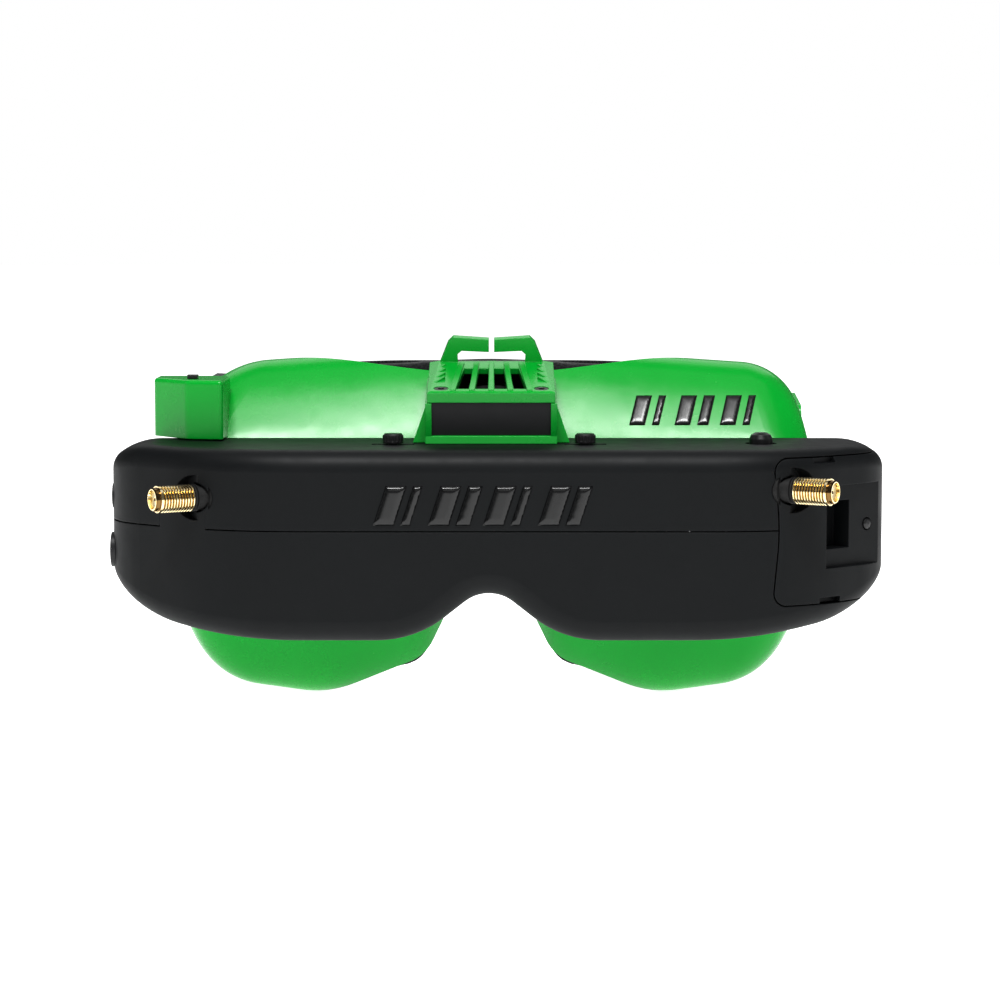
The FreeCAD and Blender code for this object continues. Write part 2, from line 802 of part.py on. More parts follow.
foam_outer = inset(plate_section(SHELL_DEPTH), value("FoamInset"))
foam_inner = inset(plate_section(SHELL_DEPTH), value("FoamWide"))
foam_form = front_prism(foam_outer, -14, 40).cut(front_prism(foam_inner, -15, 41)).common(foam_front).cut(head)
for side, sign in SIDES:
    foam_form = foam_form.cut(strap_room(sign, ear_low - 2.3, -8, 14, 4.8, 3.5))
feature("face_foam", single(foam_form))

panel_thick = 2.0
panel_outline = inset(housing_silhouette(), wall + 0.25)
panel_sides = plan_prism(inset(housing_plan(), wall + 0.25), -60, 60)
panel_form = front_prism(panel_outline, back - panel_thick - 0.4, back - 0.4).common(panel_sides)
for side, sign in SIDES:
    panel_form = panel_form.cut(eye_window(sign, 14.0, 50.0, 13.0, 12.4, back - 6, back + 1))
for x, z in PLATE_SCREWS:
    panel_form = panel_form.cut(rod_shape(V(x, back, z), -Y_AXIS, value("PostRadius") + 0.2, -1, 6))
feature("eyepiece_panel", single(panel_form))


# ---------------------------------------------------------------- optics

def eye_x(sign):
    return "EyeSpacing / 2" if sign > 0 else "-EyeSpacing / 2"


def optics(side, sign):
    """One eye's carriage, lens barrel, lens, display panel and knob."""
    centre = eye_x(sign)
    pocket_wide = "(PanelWide / 2 + 0.2)"
    body = new_body("optic_carriage_" + side)
    outline = new_sketch(body, "XZ_Plane", "outline_" + side,
                         [rectangle(centre + " - CarriageWide / 2", centre + " + CarriageWide / 2",
                                    "-CarriageHigh / 2", "CarriageHigh / 2")], offset="CarriageBack")
    add_feature(body, "Pad", "block_" + side, outline, Length="CarriageFront - CarriageBack")
    bore = new_sketch(body, "XZ_Plane", "bore_" + side, circles=[(centre, "0", "BarrelRadius + SlideFit")],
                      offset="CarriageBack")
    add_feature(body, "Pocket", "barrel_bore_" + side, bore, reverse=True,
                Length="BarrelFront + FocusTravel + 0.5 - CarriageBack")
    panel = new_sketch(body, "XZ_Plane", "panel_seat_" + side,
                       [rectangle(centre + " - " + pocket_wide, centre + " + " + pocket_wide,
                                  "-PanelHigh / 2 - 0.2", "PanelHigh / 2 + 0.2")], offset="CarriageFront")
    add_feature(body, "Pocket", "panel_pocket_" + side, panel, Length="CarriageFront - PanelFront + PanelThick")
    window = new_sketch(body, "XZ_Plane", "window_" + side,
                        [rectangle(centre + " - 6.8", centre + " + 6.8", "-5", "5")], offset="CarriageFront")
    add_feature(body, "Pocket", "light_window_" + side, window, Length="CarriageFront - BarrelFront")
    rods = new_sketch(body, "YZ_Plane", "rod_bores_" + side,
                      circles=[("-RodFront", "RodHeight", "RodRadius + SlideFit"),
                               ("-RodFront", "-RodHeight", "RodRadius + SlideFit")],
                      offset=centre + " - CarriageWide / 2")
    add_feature(body, "Pocket", "rod_holes_" + side, rods, reverse=True, Length="CarriageWide")
    shaft = new_sketch(body, "XY_Plane", "shaft_" + side,
                       circles=[("%d * KnobReach" % sign, "-KnobFront", "KnobShaft + SlideFit")],
                       offset="CarriageHigh / 2")
    add_feature(body, "Pocket", "shaft_hole_" + side, shaft, Length="CarriageHigh / 2 - KnobShaftFoot + 0.3")

    barrel = turned("lens_barrel_" + side, [
        ("BarrelRadius - BarrelWall - 3", "BarrelBack"),
        ("BarrelRadius", "BarrelBack"),
        ("BarrelRadius", "BarrelFront"),
        ("BarrelRadius - BarrelWall", "BarrelFront"),
        ("BarrelRadius - BarrelWall", "BarrelBack + 1.4"),
        ("BarrelRadius - BarrelWall - 3", "BarrelBack + 1.4"),
    ])
    bind_base(barrel, x=centre, rotation=FreeCAD.Rotation(Z_AXIS, -Y_AXIS))

    lens = turned("eyepiece_lens_" + side, [
        ("0", "BarrelBack + 1.6"),
        ("LensRadius * 0.5", "BarrelBack + 1.9"),
        ("LensRadius", "BarrelBack + 3.1"),
        ("LensRadius", "BarrelBack + LensThick - 1"),
        ("LensRadius * 0.5", "BarrelBack + LensThick + 0.6"),
        ("0", "BarrelBack + LensThick + 1"),
    ])
    bind_base(lens, x=centre, rotation=FreeCAD.Rotation(Z_AXIS, -Y_AXIS))

    panel_box = block("panel_" + side, centre + " - PanelWide / 2", "-PanelFront", "-PanelHigh / 2",
                      "PanelWide", "PanelThick", "PanelHigh")
    node(panel_box, "display_panel_" + side)

    knob = new_body("focus_knob_" + side)
    revolve(knob, "Revolution", "knob_turning_" + side, [
        ("0", "KnobShaftFoot"),
        ("KnobShaft", "KnobShaftFoot"),
        ("KnobShaft", "HousingTop + 0.3"),
        ("KnobRadius", "HousingTop + 0.3"),
        ("KnobRadius", "HousingTop + KnobHigh - 0.5"),
        ("KnobRadius - 0.5", "HousingTop + KnobHigh"),
        ("0", "HousingTop + KnobHigh"),
    ])
    notch = new_sketch(knob, "XY_Plane", "knob_notch_" + side, circles=[("KnobRadius + 0.12", "0", "0.3")],
                       offset="HousingTop + KnobHigh")
    grip = add_feature(knob, "Pocket", "grip_" + side, notch, Length="KnobHigh - 0.8")
    ribs = knob.newObject("PartDesign::PolarPattern", "grip_ring_" + side)
    ribs.Originals = [grip]
    ribs.Axis = (notch, ["N_Axis"])
    ribs.Angle = 360
    ribs.Occurrences = 16
    knob.Tip = ribs
    bind_base(knob, x="%d * KnobReach" % sign, y="-KnobFront")


for side, sign in SIDES:
    optics(side, sign)

guide_rods = fuse("ipd_guide_rods", *[
    rod("guide_rod_%d" % level, "-RodReach", "-RodFront", "%d * RodHeight" % level,
        "RodRadius", "2 * RodReach", ALONG_X) for level in (1, -1)])
node(guide_rods, "ipd_guide_rods")

for side, sign in SIDES:
    plate_x = "RodReach - 2" if sign > 0 else "-RodReach - 1.4"
    plate = block("bracket_plate_" + side, plate_x, "-RodFront - BracketWide / 2", "-BracketLow", "BracketThick",
                  "BracketWide", "BracketLow + BracketHigh")
    bores = [rod("bracket_bore_%s_%d" % (side, level), plate_x + " - 1", "-RodFront", "%d * RodHeight" % level,
                 "RodRadius + 0.02", "6", ALONG_X) for level in (1, -1)]
    foot = block("bracket_foot_" + side, plate_x + (" + BracketThick - BracketFoot" if sign > 0 else ""),
                 "-RodFront - BracketWide / 2", "-BracketLow", "BracketFoot", "BracketWide", "1.6")
    node(cut("bracket_" + side, fuse("bracket_blank_" + side, plate, foot), *bores), "rod_bracket_" + side)

node(block("main_board", "-BoardWide / 2", "-HousingFront + ShellWall + 0.1", "-BoardLow", "BoardWide", "BoardThick",
           "BoardHigh"), "main_board")
node(block("bay_bulkhead", "BulkheadReach", "-BulkheadFront", "-BulkheadLow", "BulkheadThick",
           "BulkheadFront - BulkheadBack", "BulkheadLow + BulkheadHigh"), "bay_bulkhead")
receiver = fuse("receiver_parts",
                block("receiver_card", "BulkheadReach + BulkheadThick", "-CardFront", "-CardHigh / 2",
                      "CardLong", "CardThick", "CardHigh"),
                block("receiver_can", "BulkheadReach + BulkheadThick + 2", "-CardFront + CardThick",
                      "-CardHigh / 2 + 2", "CardLong - 4", "CanThick", "CardHigh - 4"))
node(receiver, "receiver_module")


# ---------------------------------------------------------------- antenna jacks

THREAD_TURNS = 13


def antenna_jack(side, sign):
    """Threaded jack body, its insulator and its spring contact, set along the yawed axis."""
    base, axis = JACKS[side]
    turn = FreeCAD.Rotation(Z_AXIS, axis)
    radius = "JackThread / 2"
    body = new_body("sma_body_" + side)
    revolve(body, "Revolution", "jack_turning_" + side, [
        ("JackBore / 2", "-JackInside - SocketFloor - 2.4"),
        ("JackFlange / 2", "-JackInside - SocketFloor - 2.4"),
        ("JackFlange / 2", "-JackInside - SocketFloor - 0.3"),
        ("JackNeck / 2", "-JackInside - SocketFloor - 0.3"),
        ("JackNeck / 2", "-0.2"),
        (radius, "-0.2"),
        (radius, "JackLength - JackCollar"),
        (radius + " - JackGroove", "JackLength - JackCollar"),
        (radius + " - JackGroove", "JackLength - 0.25"),
        (radius + " - JackGroove - 0.25", "JackLength"),
        ("JackBore / 2 + 0.15", "JackLength"),
        ("JackBore / 2", "JackLength - 0.9"),
    ])
    start = "0"
    groove = revolve(body, "Groove", "thread_groove_" + side, [
        (radius + " + 0.1", start),
        (radius + " + 0.1", start + " + JackPitch - 0.16"),
        (radius + " - JackGroove", start + " + JackPitch / 2 + 0.02"),
        (radius + " - JackGroove", start + " + JackPitch / 2 - 0.10"),
    ])
    thread = body.newObject("PartDesign::LinearPattern", "thread_" + side)
    thread.Originals = [groove]
    thread.Direction = (groove.Profile[0], ["V_Axis"])
    thread.Length = value("JackPitch") * (THREAD_TURNS - 1)
    thread.Occurrences = THREAD_TURNS
    body.Tip = thread
    set_place(body, base, turn)

    insulator = turned("sma_insulator_" + side, [
        ("ContactRadius + 0.02", "-JackInside - 3.6"),
        ("JackBore / 2 - 0.02", "-JackInside - 3.6"),
        ("JackBore / 2 - 0.02", "JackLength - 1.3"),
        ("ContactRadius + 0.02", "JackLength - 1.3"),
    ])
    set_place(insulator, base, turn)
    contact = turned("sma_contact_" + side, [
        ("0", "-JackInside - 5"),
        ("ContactRadius", "-JackInside - 5"),
        ("ContactRadius", "JackLength - 0.8"),
        ("ContactBore", "JackLength - 0.8"),
        ("ContactBore", "JackLength - 4"),
        ("0", "JackLength - 4.3"),
    ])
    set_place(contact, base, turn)


for side, sign in SIDES:
    antenna_jack(side, sign)


# ---------------------------------------------------------------- fan module

GUSSET_FRONT = -35.0       # behind the path of the focus knobs
base_floor = value("HousingTop") + 0.15
base_profile = [(-value("FanFront") - 1.2, base_floor)]
for depth in (-0.8, fan_side + 0.2):
    point = fan_frame_place.multVec(V(0, depth, 0))
    base_profile.append((point.y, point.z))
base_profile.append((-8.6, base_floor))
base_half = fan_side / 2 + 0.75
base_wire = Part.makePolygon([V(value("FanShift") - base_half, y, z) for y, z in base_profile + base_profile[:1]])
base_form = Part.Face(base_wire).extrude(V(2 * base_half, 0, 0))
duct = Part.makeCylinder(value("FanBore") - 1, 40, V(0, fan_side / 2, -10), Z_AXIS)
duct.Placement = fan_frame_place.multiply(duct.Placement)
duct = duct.common(box_shape(-REACH, REACH, -REACH, REACH, value("HousingTop") + 1.4, REACH))
for sign in (-1, 1):
    foot_x = value("FanShift") + sign * base_half
    corners = [V(foot_x, GUSSET_FRONT, base_floor), V(foot_x + sign * 3.1, GUSSET_FRONT, base_floor),
               V(foot_x, GUSSET_FRONT + 1.4, 28.0)]
    gusset = Part.makePolygon(corners + corners[:1])
    base_form = base_form.fuse(Part.Face(gusset).extrude(V(0, 10, 0)))
for sign in (-1, 1):
    low, high = sorted((sign * (fan_side / 2 + 0.12), sign * base_half))
    cheek = box_shape(low, high, -0.8, fan_side - 6, -0.9, value("FanHigh"))
    low, high = sorted((sign * (fan_side / 2 - 0.75), sign * base_half))
    cheek = cheek.fuse(box_shape(low, high, -0.8, -0.12, -0.9, value("FanHigh")))
    cheek.Placement = fan_frame_place
    base_form = base_form.fuse(cheek)
base_form = base_form.cut(duct).cut(plate_solid)
feature("fan_base", single(base_form.removeSplitter()))

fan_frame = new_body("fan_frame")
fan_outline = new_sketch(fan_frame, "XY_Plane", "fan_outline",
                         [rectangle("-FanSide / 2", "FanSide / 2", "0", "FanSide")])
add_feature(fan_frame, "Pad", "fan_housing", fan_outline, Length="FanHigh")
fan_bore = new_sketch(fan_frame, "XY_Plane", "fan_throat", circles=[("0", "FanSide / 2", "FanBore")],
                      offset="FanHigh")
add_feature(fan_frame, "Pocket", "fan_throat_cut", fan_bore, Length="FanHigh")
fan_hub = new_sketch(fan_frame, "XY_Plane", "fan_hub_seat", circles=[("0", "FanSide / 2", "FanHub")])
add_feature(fan_frame, "Pad", "fan_hub_plate", fan_hub, Length="1.2")
fan_arms = new_sketch(fan_frame, "XY_Plane", "fan_arm_outline",
                      [rectangle("-0.9", "0.9", "0.5", "FanSide / 2 - FanHub + 1")])
add_feature(fan_frame, "Pad", "fan_arm", fan_arms, Length="1.2")
fan_axle = new_sketch(fan_frame, "XY_Plane", "fan_axle_outline", circles=[("0", "FanSide / 2", "0.75")])
add_feature(fan_frame, "Pad", "fan_axle", fan_axle, Length="FanHigh - 2")
fan_corner = new_sketch(fan_frame, "XY_Plane", "fan_corner_holes",
                        circles=[("%d * (FanSide / 2 - 3)" % sx, text, "1.6")
                                 for sx in (-1, 1) for text in ("3", "FanSide - 3")], offset="FanHigh")
add_feature(fan_frame, "Pocket", "fan_corner_cut", fan_corner, Length="FanHigh")
fan_frame.Placement = fan_frame_place


def fan_rotor_shape():
    """Hub cup on the axle with twisted blades."""
    centre = V(0, fan_side / 2, 0)
    low = 1.8
    high = value("FanHigh") - 1.0
    hub = Part.makeCylinder(value("FanHub") - 0.2, high - low, centre + Z_AXIS * low, Z_AXIS)
    blade_length = value("BladeReach - FanHub") + 1.5
    pieces = [hub]
    for k in range(int(value("BladeCount"))):
        blade = Part.makeBox(blade_length, 8.0, 0.7, V(value("FanHub") - 1.5, -4.0, -0.35))
        blade.rotate(V(0, 0, 0), X_AXIS, 32)
        blade.rotate(V(0, 0, 0), Z_AXIS, 360.0 * k / value("BladeCount"))
        blade.translate(centre + Z_AXIS * (low + high) / 2)
        pieces.append(blade)
    rotor = unite(pieces)
    rotor = rotor.common(Part.makeCylinder(value("BladeReach"), high - low, centre + Z_AXIS * low, Z_AXIS))
    return rotor.cut(Part.makeCylinder(0.8, high - 0.8, centre, Z_AXIS))


feature("fan_rotor", single(fan_rotor_shape()), fan_frame_place)


def hood_level(z_front, z_rear, front_half, rear_half, front, rear):
    """A four-sided outline of the hood: narrower and higher towards the rear."""
    corners = [V(-front_half, front, z_front), V(front_half, front, z_front),
               V(rear_half, rear, z_rear), V(-rear_half, rear, z_rear)]
    return Part.makePolygon(corners + corners[:1])


def hood_shape():
    """Louvred cover over the fan: a lipped frame under a crown that narrows towards the rear."""
    overlap = value("HoodOverlap")
    half = fan_side / 2 + overlap
    rear = fan_side + overlap
    lip_low = value("FanHigh") + 0.15
    lip_high = lip_low + value("HoodLip")
    top = lip_low + value("HoodHigh")
    taper = value("HoodTaper")
    wall_thick = value("HoodWall")
    base_level = hood_level(lip_low, lip_low, half, half, -overlap, rear)
    lip_level = hood_level(lip_high, lip_high, half, half, -overlap, rear)
    crown_level = hood_level(lip_high + 0.25, top, half - 0.7, half - taper, 0.5, rear - 2.4)
    lip = Part.makeLoft([base_level, lip_level], True, True)
    crown = Part.makeLoft([lip_level, crown_level], True, True)
    inner_half = half - wall_thick
    hollow = Part.makeLoft([
        hood_level(lip_low - 1, lip_low - 1, inner_half, inner_half, wall_thick, rear - wall_thick),
        hood_level(lip_high - 1.2, top - 1.4, inner_half, inner_half - taper + 1, wall_thick, rear - 3.2),
    ], True, True)
    return lip.fuse(crown).cut(hollow), top


hood, hood_top = hood_shape()
OPENINGS = 4
for k in range(OPENINGS):
    centre_share = (k + 0.5) / OPENINGS - 0.5
    near = V(centre_share * 18.4, 2.6, 0)
    far = V(centre_share * 14.6, 20.6, 0)
    half_near = 1.5
    half_far = 1.2
    wire = Part.makePolygon([V(near.x - half_near, near.y, 4), V(near.x + half_near, near.y, 4),
                             V(far.x + half_far, far.y, 4), V(far.x - half_far, far.y, 4),
                             V(near.x - half_near, near.y, 4)])
    hood = hood.cut(Part.Face(wire).extrude(V(0, 0, 20)))
BAR_FEET = (-1, -0.5, 0, 0.5, 1)
for share in BAR_FEET:
    foot = V(share * 9.2, 0.6, value("FanHigh + HoodLip") + 0.1)
    head_end = V(share * 7.3, 24.6, hood_top - 0.15)
    run = head_end - foot
    bar = Part.makeBox(1.3, run.Length, 0.9, V(-0.65, 0, -0.2))
    bar.Placement = FreeCAD.Placement(foot, FreeCAD.Rotation(run.cross(Z_AXIS), run, Z_AXIS, "YXZ"))
    hood = hood.fuse(bar)
for sign in (-1, 1):
    for k in range(4):
        foot = V(sign * (fan_side / 2 - 0.2), 7.0 + 4.2 * k, value("FanHigh + HoodLip") - 0.1)
        head_end = V(sign * (fan_side / 2 - 3.6), 11.0 + 4.2 * k, hood_top - 0.1)
        run = head_end - foot
        rib = Part.makeBox(0.7, run.Length, 0.7, V(-0.35, 0, -0.35))
        rib.Placement = FreeCAD.Placement(foot, FreeCAD.Rotation(run.cross(Z_AXIS), run, Z_AXIS, "YXZ"))
        hood = hood.fuse(rib)


def hook_ear(sign):
    """One L-shaped arm of the top strap's hook; the two arms leave a gap in the middle."""
    outer_x = value("EarOuter")
    inner_x = value("EarInner")
    top = hood_top + value("EarHigh")
    arm_low = top - value("EarArm")
    foot = hood_top - 1.0
    points = [(outer_x, foot), (outer_x - 2.3, top - 1.3), (outer_x - 3.6, top),
              (value("EarGap"), top - 0.6), (value("EarGap"), arm_low - 0.3),
              (inner_x - 1.0, arm_low), (inner_x, arm_low - 0.9), (inner_x - 0.2, foot)]
    y = fan_side - 0.9
    wire = Part.makePolygon([V(sign * x, y, z) for x, z in points + points[:1]])
    return Part.Face(wire).extrude(V(0, -value("EarThick"), 0))


for sign in (-1, 1):
    hood = hood.fuse(hook_ear(sign))
HOOD_SCREWS = [(sign * (fan_side / 2 - 3.0), 3.0) for sign in (-1, 1)]
lip_floor = value("FanHigh") + 0.15
screw_seat = value("FanHigh + HoodLip") - 0.5
for x, y in HOOD_SCREWS:
    lug = rod_shape(V(x, y, 0), Z_AXIS, 2.0, lip_floor, screw_seat)
    hood = hood.fuse(lug).cut(rod_shape(V(x, y, 0), Z_AXIS, 1.15, lip_floor - 1, screw_seat + 1))
    hood = hood.cut(rod_shape(V(x, y, 0), Z_AXIS, 1.75, screw_seat, screw_seat + 8))
feature("fan_hood", single(hood.removeSplitter()), fan_frame_place)


def screw(base, direction, head_radius, head_height, shank_radius, length):
    """A socket-head screw: base is under the head, and direction points out of the head."""
    head = rod_shape(V(0, 0, 0), Z_AXIS, head_radius, 0, head_height)
    shank = rod_shape(V(0, 0, 0), Z_AXIS, shank_radius, -length, 0.01)
    socket_radius = head_radius * 0.55
    corners = [V(socket_radius * math.cos(math.radians(60 * k)), socket_radius * math.sin(math.radians(60 * k)),
                 head_height * 0.4) for k in range(7)]
    socket = Part.Face(Part.makePolygon(corners)).extrude(V(0, 0, head_height))
    solid = head.fuse(shank).removeSplitter().cut(socket)
    solid.Placement = FreeCAD.Placement(base, FreeCAD.Rotation(Z_AXIS, direction))
    return solid


def screw_group(label, places, direction, head_radius, head_height, shank_radius, length):
    """Identical screws share one sub-part."""
    screws = [screw(place, direction, head_radius, head_height, shank_radius, length) for place in places]
    return feature(label, Part.makeCompound(screws))


fan_up = fan_frame_place.Rotation.multVec(Z_AXIS)
hood_screw_bases = [fan_frame_place.multVec(V(x, y, screw_seat)) for x, y in HOOD_SCREWS]
screw_group("fan_screws", hood_screw_bases, fan_up, 1.6, 0.9, 1.1, 2.6)
screw_group("housing_screws", [V(x, y, seat) for x, y, seat in LID_SCREWS], -Z_AXIS, 1.9, 1.1, SCREW_SHANK, 5.0)
screw_group("faceplate_screws", [V(x, back + value("FlangeThick"), z) for x, z in PLATE_SCREWS], Y_AXIS,
            1.9, 1.2, 1.0, 9.0)


# ---------------------------------------------------------------- fan supply box and switch

box_low = value("HousingTop") + 0.4
box_high = 33.6
box_outline = [(-82.6, -6, 0), (-82.6, -15.5, 2.5), (-73.6, -26.4, 2.5), (-64.6, -28.4, 0.8), (-64.6, -8, 0),
               (-68.0, -6, 0)]
switch_x = -71.8
switch_y = -20.5
supply_form = plan_prism(box_outline, box_low, box_high)
supply_form = supply_form.makeFillet(1.0, [edge for edge in supply_form.Edges
                                           if all(vertex.Z > box_high - 0.01 for vertex in edge.Vertexes)])
supply_form = supply_form.cut(plan_prism(inset(box_outline, 1.8), box_low - 1, box_high - 1.8))
supply_form = supply_form.cut(plate_solid)
slot_half = 3.0
supply_form = supply_form.cut(box_shape(switch_x - slot_half, switch_x + slot_half, switch_y - 1.0, switch_y + 1.0,
                                        box_high - 4, box_high + 2))
feature("fan_supply_box", single(supply_form))

switch_body = new_body("fan_switch")
stem = new_sketch(switch_body, "XY_Plane", "switch_stem_outline", [rectangle("-1.5", "0", "-0.7", "0.7")])
add_feature(switch_body, "Pad", "switch_stem", stem, Length="3.6")
skid = new_sketch(switch_body, "XY_Plane", "switch_skid_outline", [rectangle("-2.6", "1.1", "-1.3", "1.3")])
add_feature(switch_body, "Pad", "switch_skid", skid, Length="0.8")
thumb = new_sketch(switch_body, "XY_Plane", "switch_thumb_outline", [rectangle("-2.0", "0.5", "-1.3", "1.3")],
                   offset="3.1")
add_feature(switch_body, "Pad", "switch_thumb", thumb, Length="0.9")
set_place(switch_body, V(switch_x, switch_y, box_high - 3.0))


# ---------------------------------------------------------------- joystick

node(block("stick_board", "StickBoardReach", "-StickFront - 5", "StickFloor - 1.2", "StickReach + 3.1 - StickBoardReach",
           "10", "1.2"), "joystick_board")
node(block("stick_base", "StickReach - StickBase / 2", "-StickFront - StickBase / 2", "StickFloor", "StickBase",
           "StickBase", "3.4"), "joystick_base")
stick_carrier = turned("joystick_plunger", [("0", "12.5"), ("2.2", "12.5"), ("2.2", "13.4"), ("0", "13.4")])
stick_rocker = turned("joystick_rocker", [("1.4", "13.9"), ("2.3", "13.9"), ("2.3", "14.9"), ("1.4", "14.9")])
stick_cap = turned("joystick_cap", [
    ("0", "14.0"),
    ("0.9", "14.0"),
    ("0.9", "16.9"),
    ("StickRadius", "16.9"),
    ("StickRadius", "StickTop - 1.5"),
    ("StickRadius - 0.45", "StickTop - 0.55"),
    ("StickRadius - 1.4", "StickTop"),
    ("0", "StickTop - 0.25"),
])
for item in (stick_carrier, stick_rocker, stick_cap):
    bind_base(item, x="StickReach", y="-StickFront")


# ---------------------------------------------------------------- sockets on the left side

power_jack = turned("power_jack", [
    ("PowerBore", "0"),
    ("PowerCollar", "0"),
    ("PowerCollar", "14"),
    ("0", "14"),
    ("0", "11"),
    ("PowerBore", "11"),
])
power_pin = turned("power_jack_pin", [
    ("0", "2.2"),
    ("PowerPin * 0.6", "2.2"),
    ("PowerPin", "2.8"),
    ("PowerPin", "11"),
    ("0", "11"),
])
for item in (power_jack, power_pin):
    bind_base(item, x="-HousingLeft - PowerProud", y="-SocketFront", z="PowerHeight", rotation=ALONG_X)
audio_jack = turned("audio_jack", [
    ("AudioBore", "0"),
    ("AudioCollar", "0"),
    ("AudioCollar", "13.5"),
    ("0", "13.5"),
    ("0", "12.5"),
    ("AudioBore", "12.5"),
])
bind_base(audio_jack, x="-HousingLeft", y="-SocketFront", z="AudioHeight", rotation=ALONG_X)


# ---------------------------------------------------------------- strap

def strap_path():
    """Half of the strap's plan line, from the left slot to the middle of the back."""
    start = V(-(ear_low + ear_high) / 2 + 0.6, post_back + 3.2, 0)
    bend = V(-66.0, value("StrapReach") - 10, 0)
    return start, bend


def strap_band():
    """The band round the back, and a loop round each ear's post, in the strap's own frame."""
    start, bend = strap_path()
    reach = value("StrapReach")
    thick = value("StrapThick")
    outer_line = [(start.x, start.y, 0), (bend.x, bend.y, 26), (-30, reach, 60), (30, reach, 60),
                  (-bend.x, bend.y, 26), (-start.x, start.y, 0)]
    inner_line = inset(outer_line + [(0, -60, 0)], thick)[:-1]
    inner_start = V(outer_line[0][0] + thick, start.y, 0)
    shape_line = outer_line + [(-inner_start.x, start.y, 0)] + list(reversed(inner_line[1:-1]))
    shape_line.append((inner_start.x, start.y, 0))
    band = plan_prism([(x, y, radius) for x, y, radius in shape_line], -strap_half, strap_half)
    pieces = [band]
    for _, sign in SIDES:
        middle = sign * (ear_low + ear_high) / 2
        half = (ear_high - ear_low) / 2 + 0.4
        outer_loop = [(middle - half - thick, post_front - 0.4 - thick, 1.9),
                      (middle + half + thick, post_front - 0.4 - thick, 1.9),
                      (middle + half + thick, post_back + 0.6, 2.0),
                      (middle + 1.4, start.y + 1.6, 0.5),
                      (middle - 1.4, start.y + 1.6, 0.5),
                      (middle - half - thick, post_back + 0.6, 2.0)]
        inner_loop = [(middle - half, post_front - 0.4, 0.3), (middle + half, post_front - 0.4, 0.3),
                      (middle + half, post_back + 0.3, 0.5), (middle, start.y - 0.6, 0.4),
                      (middle - half, post_back + 0.3, 0.5)]
        loop = plan_prism(outer_loop, -strap_half, strap_half)
        pieces.append(loop.cut(plan_prism(inner_loop, -strap_half - 1, strap_half + 1)))
    return unite(pieces)


feature("head_strap", single(strap_band()), strap_frame)


def strap_keeper(side, sign):
    """The slider that holds the doubled end of the strap flat."""
    start, bend = strap_path()
    line = (bend - start).normalize()
    outline = block("keeper_outline_" + side, "-3.4", "0", "-StrapWide / 2 - 2.4", "6.8", "11", "StrapWide + 4.8")
    passage = block("keeper_passage_" + side, "-1.7", "-1", "-StrapWide / 2 - 0.4", "3.4", "13",
                    "StrapWide + 0.8")
    keeper = cut("keeper_" + side, outline, passage)
    centre = start + line * 16 + V(value("StrapThick") / 2, 0, 0)
    centre.x *= -sign
    angle = math.degrees(math.atan2(line.x, line.y))
    local = FreeCAD.Placement(centre, FreeCAD.Rotation(Z_AXIS, sign * angle))
    keeper.Placement = strap_frame.multiply(local)
    node(keeper, "strap_slider_" + side)


for side, sign in SIDES:
    strap_keeper(side, sign)


# ---------------------------------------------------------------- checks and files

doc.recompute()
for item in doc.Objects:
    if "Invalid" in item.State or "Error" in item.State:
        raise SystemExit("not computed: %s %s" % (item.Label, item.State))
os.makedirs("parts", exist_ok=True)
for item in NODES:
    shape = item.Shape
    if shape.isNull() or not shape.isValid() or not shape.Solids:
        raise SystemExit("bad shape: " + item.Label)
    shape.exportStep("parts/%s.step" % item.Label)
    print("%-24s %8.0f mm3  solids %d" % (item.Label, shape.Volume, len(shape.Solids)))
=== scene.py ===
import json
import math

import bmesh
import bpy
import numpy as np
from mathutils import Matrix, Vector, noise
from mathutils.bvhtree import BVHTree


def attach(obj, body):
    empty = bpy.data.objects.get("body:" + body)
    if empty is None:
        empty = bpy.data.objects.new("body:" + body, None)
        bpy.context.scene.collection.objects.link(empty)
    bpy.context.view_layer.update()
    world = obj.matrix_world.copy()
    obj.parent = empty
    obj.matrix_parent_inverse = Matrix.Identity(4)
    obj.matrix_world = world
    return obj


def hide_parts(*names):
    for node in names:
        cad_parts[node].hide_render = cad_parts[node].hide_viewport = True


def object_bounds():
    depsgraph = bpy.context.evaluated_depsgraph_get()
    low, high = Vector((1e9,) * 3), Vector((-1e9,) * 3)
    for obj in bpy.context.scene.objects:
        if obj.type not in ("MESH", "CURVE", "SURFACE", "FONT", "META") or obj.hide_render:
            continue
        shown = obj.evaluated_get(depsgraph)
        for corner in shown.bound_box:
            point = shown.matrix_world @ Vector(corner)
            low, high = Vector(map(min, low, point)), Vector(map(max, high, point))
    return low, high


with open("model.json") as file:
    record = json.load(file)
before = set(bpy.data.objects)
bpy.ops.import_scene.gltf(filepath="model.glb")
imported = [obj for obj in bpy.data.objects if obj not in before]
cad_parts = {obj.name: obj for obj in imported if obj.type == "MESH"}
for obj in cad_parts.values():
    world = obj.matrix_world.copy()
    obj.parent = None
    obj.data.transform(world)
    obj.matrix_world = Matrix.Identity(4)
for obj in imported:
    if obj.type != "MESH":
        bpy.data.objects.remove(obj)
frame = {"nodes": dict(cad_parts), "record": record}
cad_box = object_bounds()
NODES = frame["nodes"]
MM = 0.001
scene = bpy.context.scene


# ---------------------------------------------------------------- node helpers

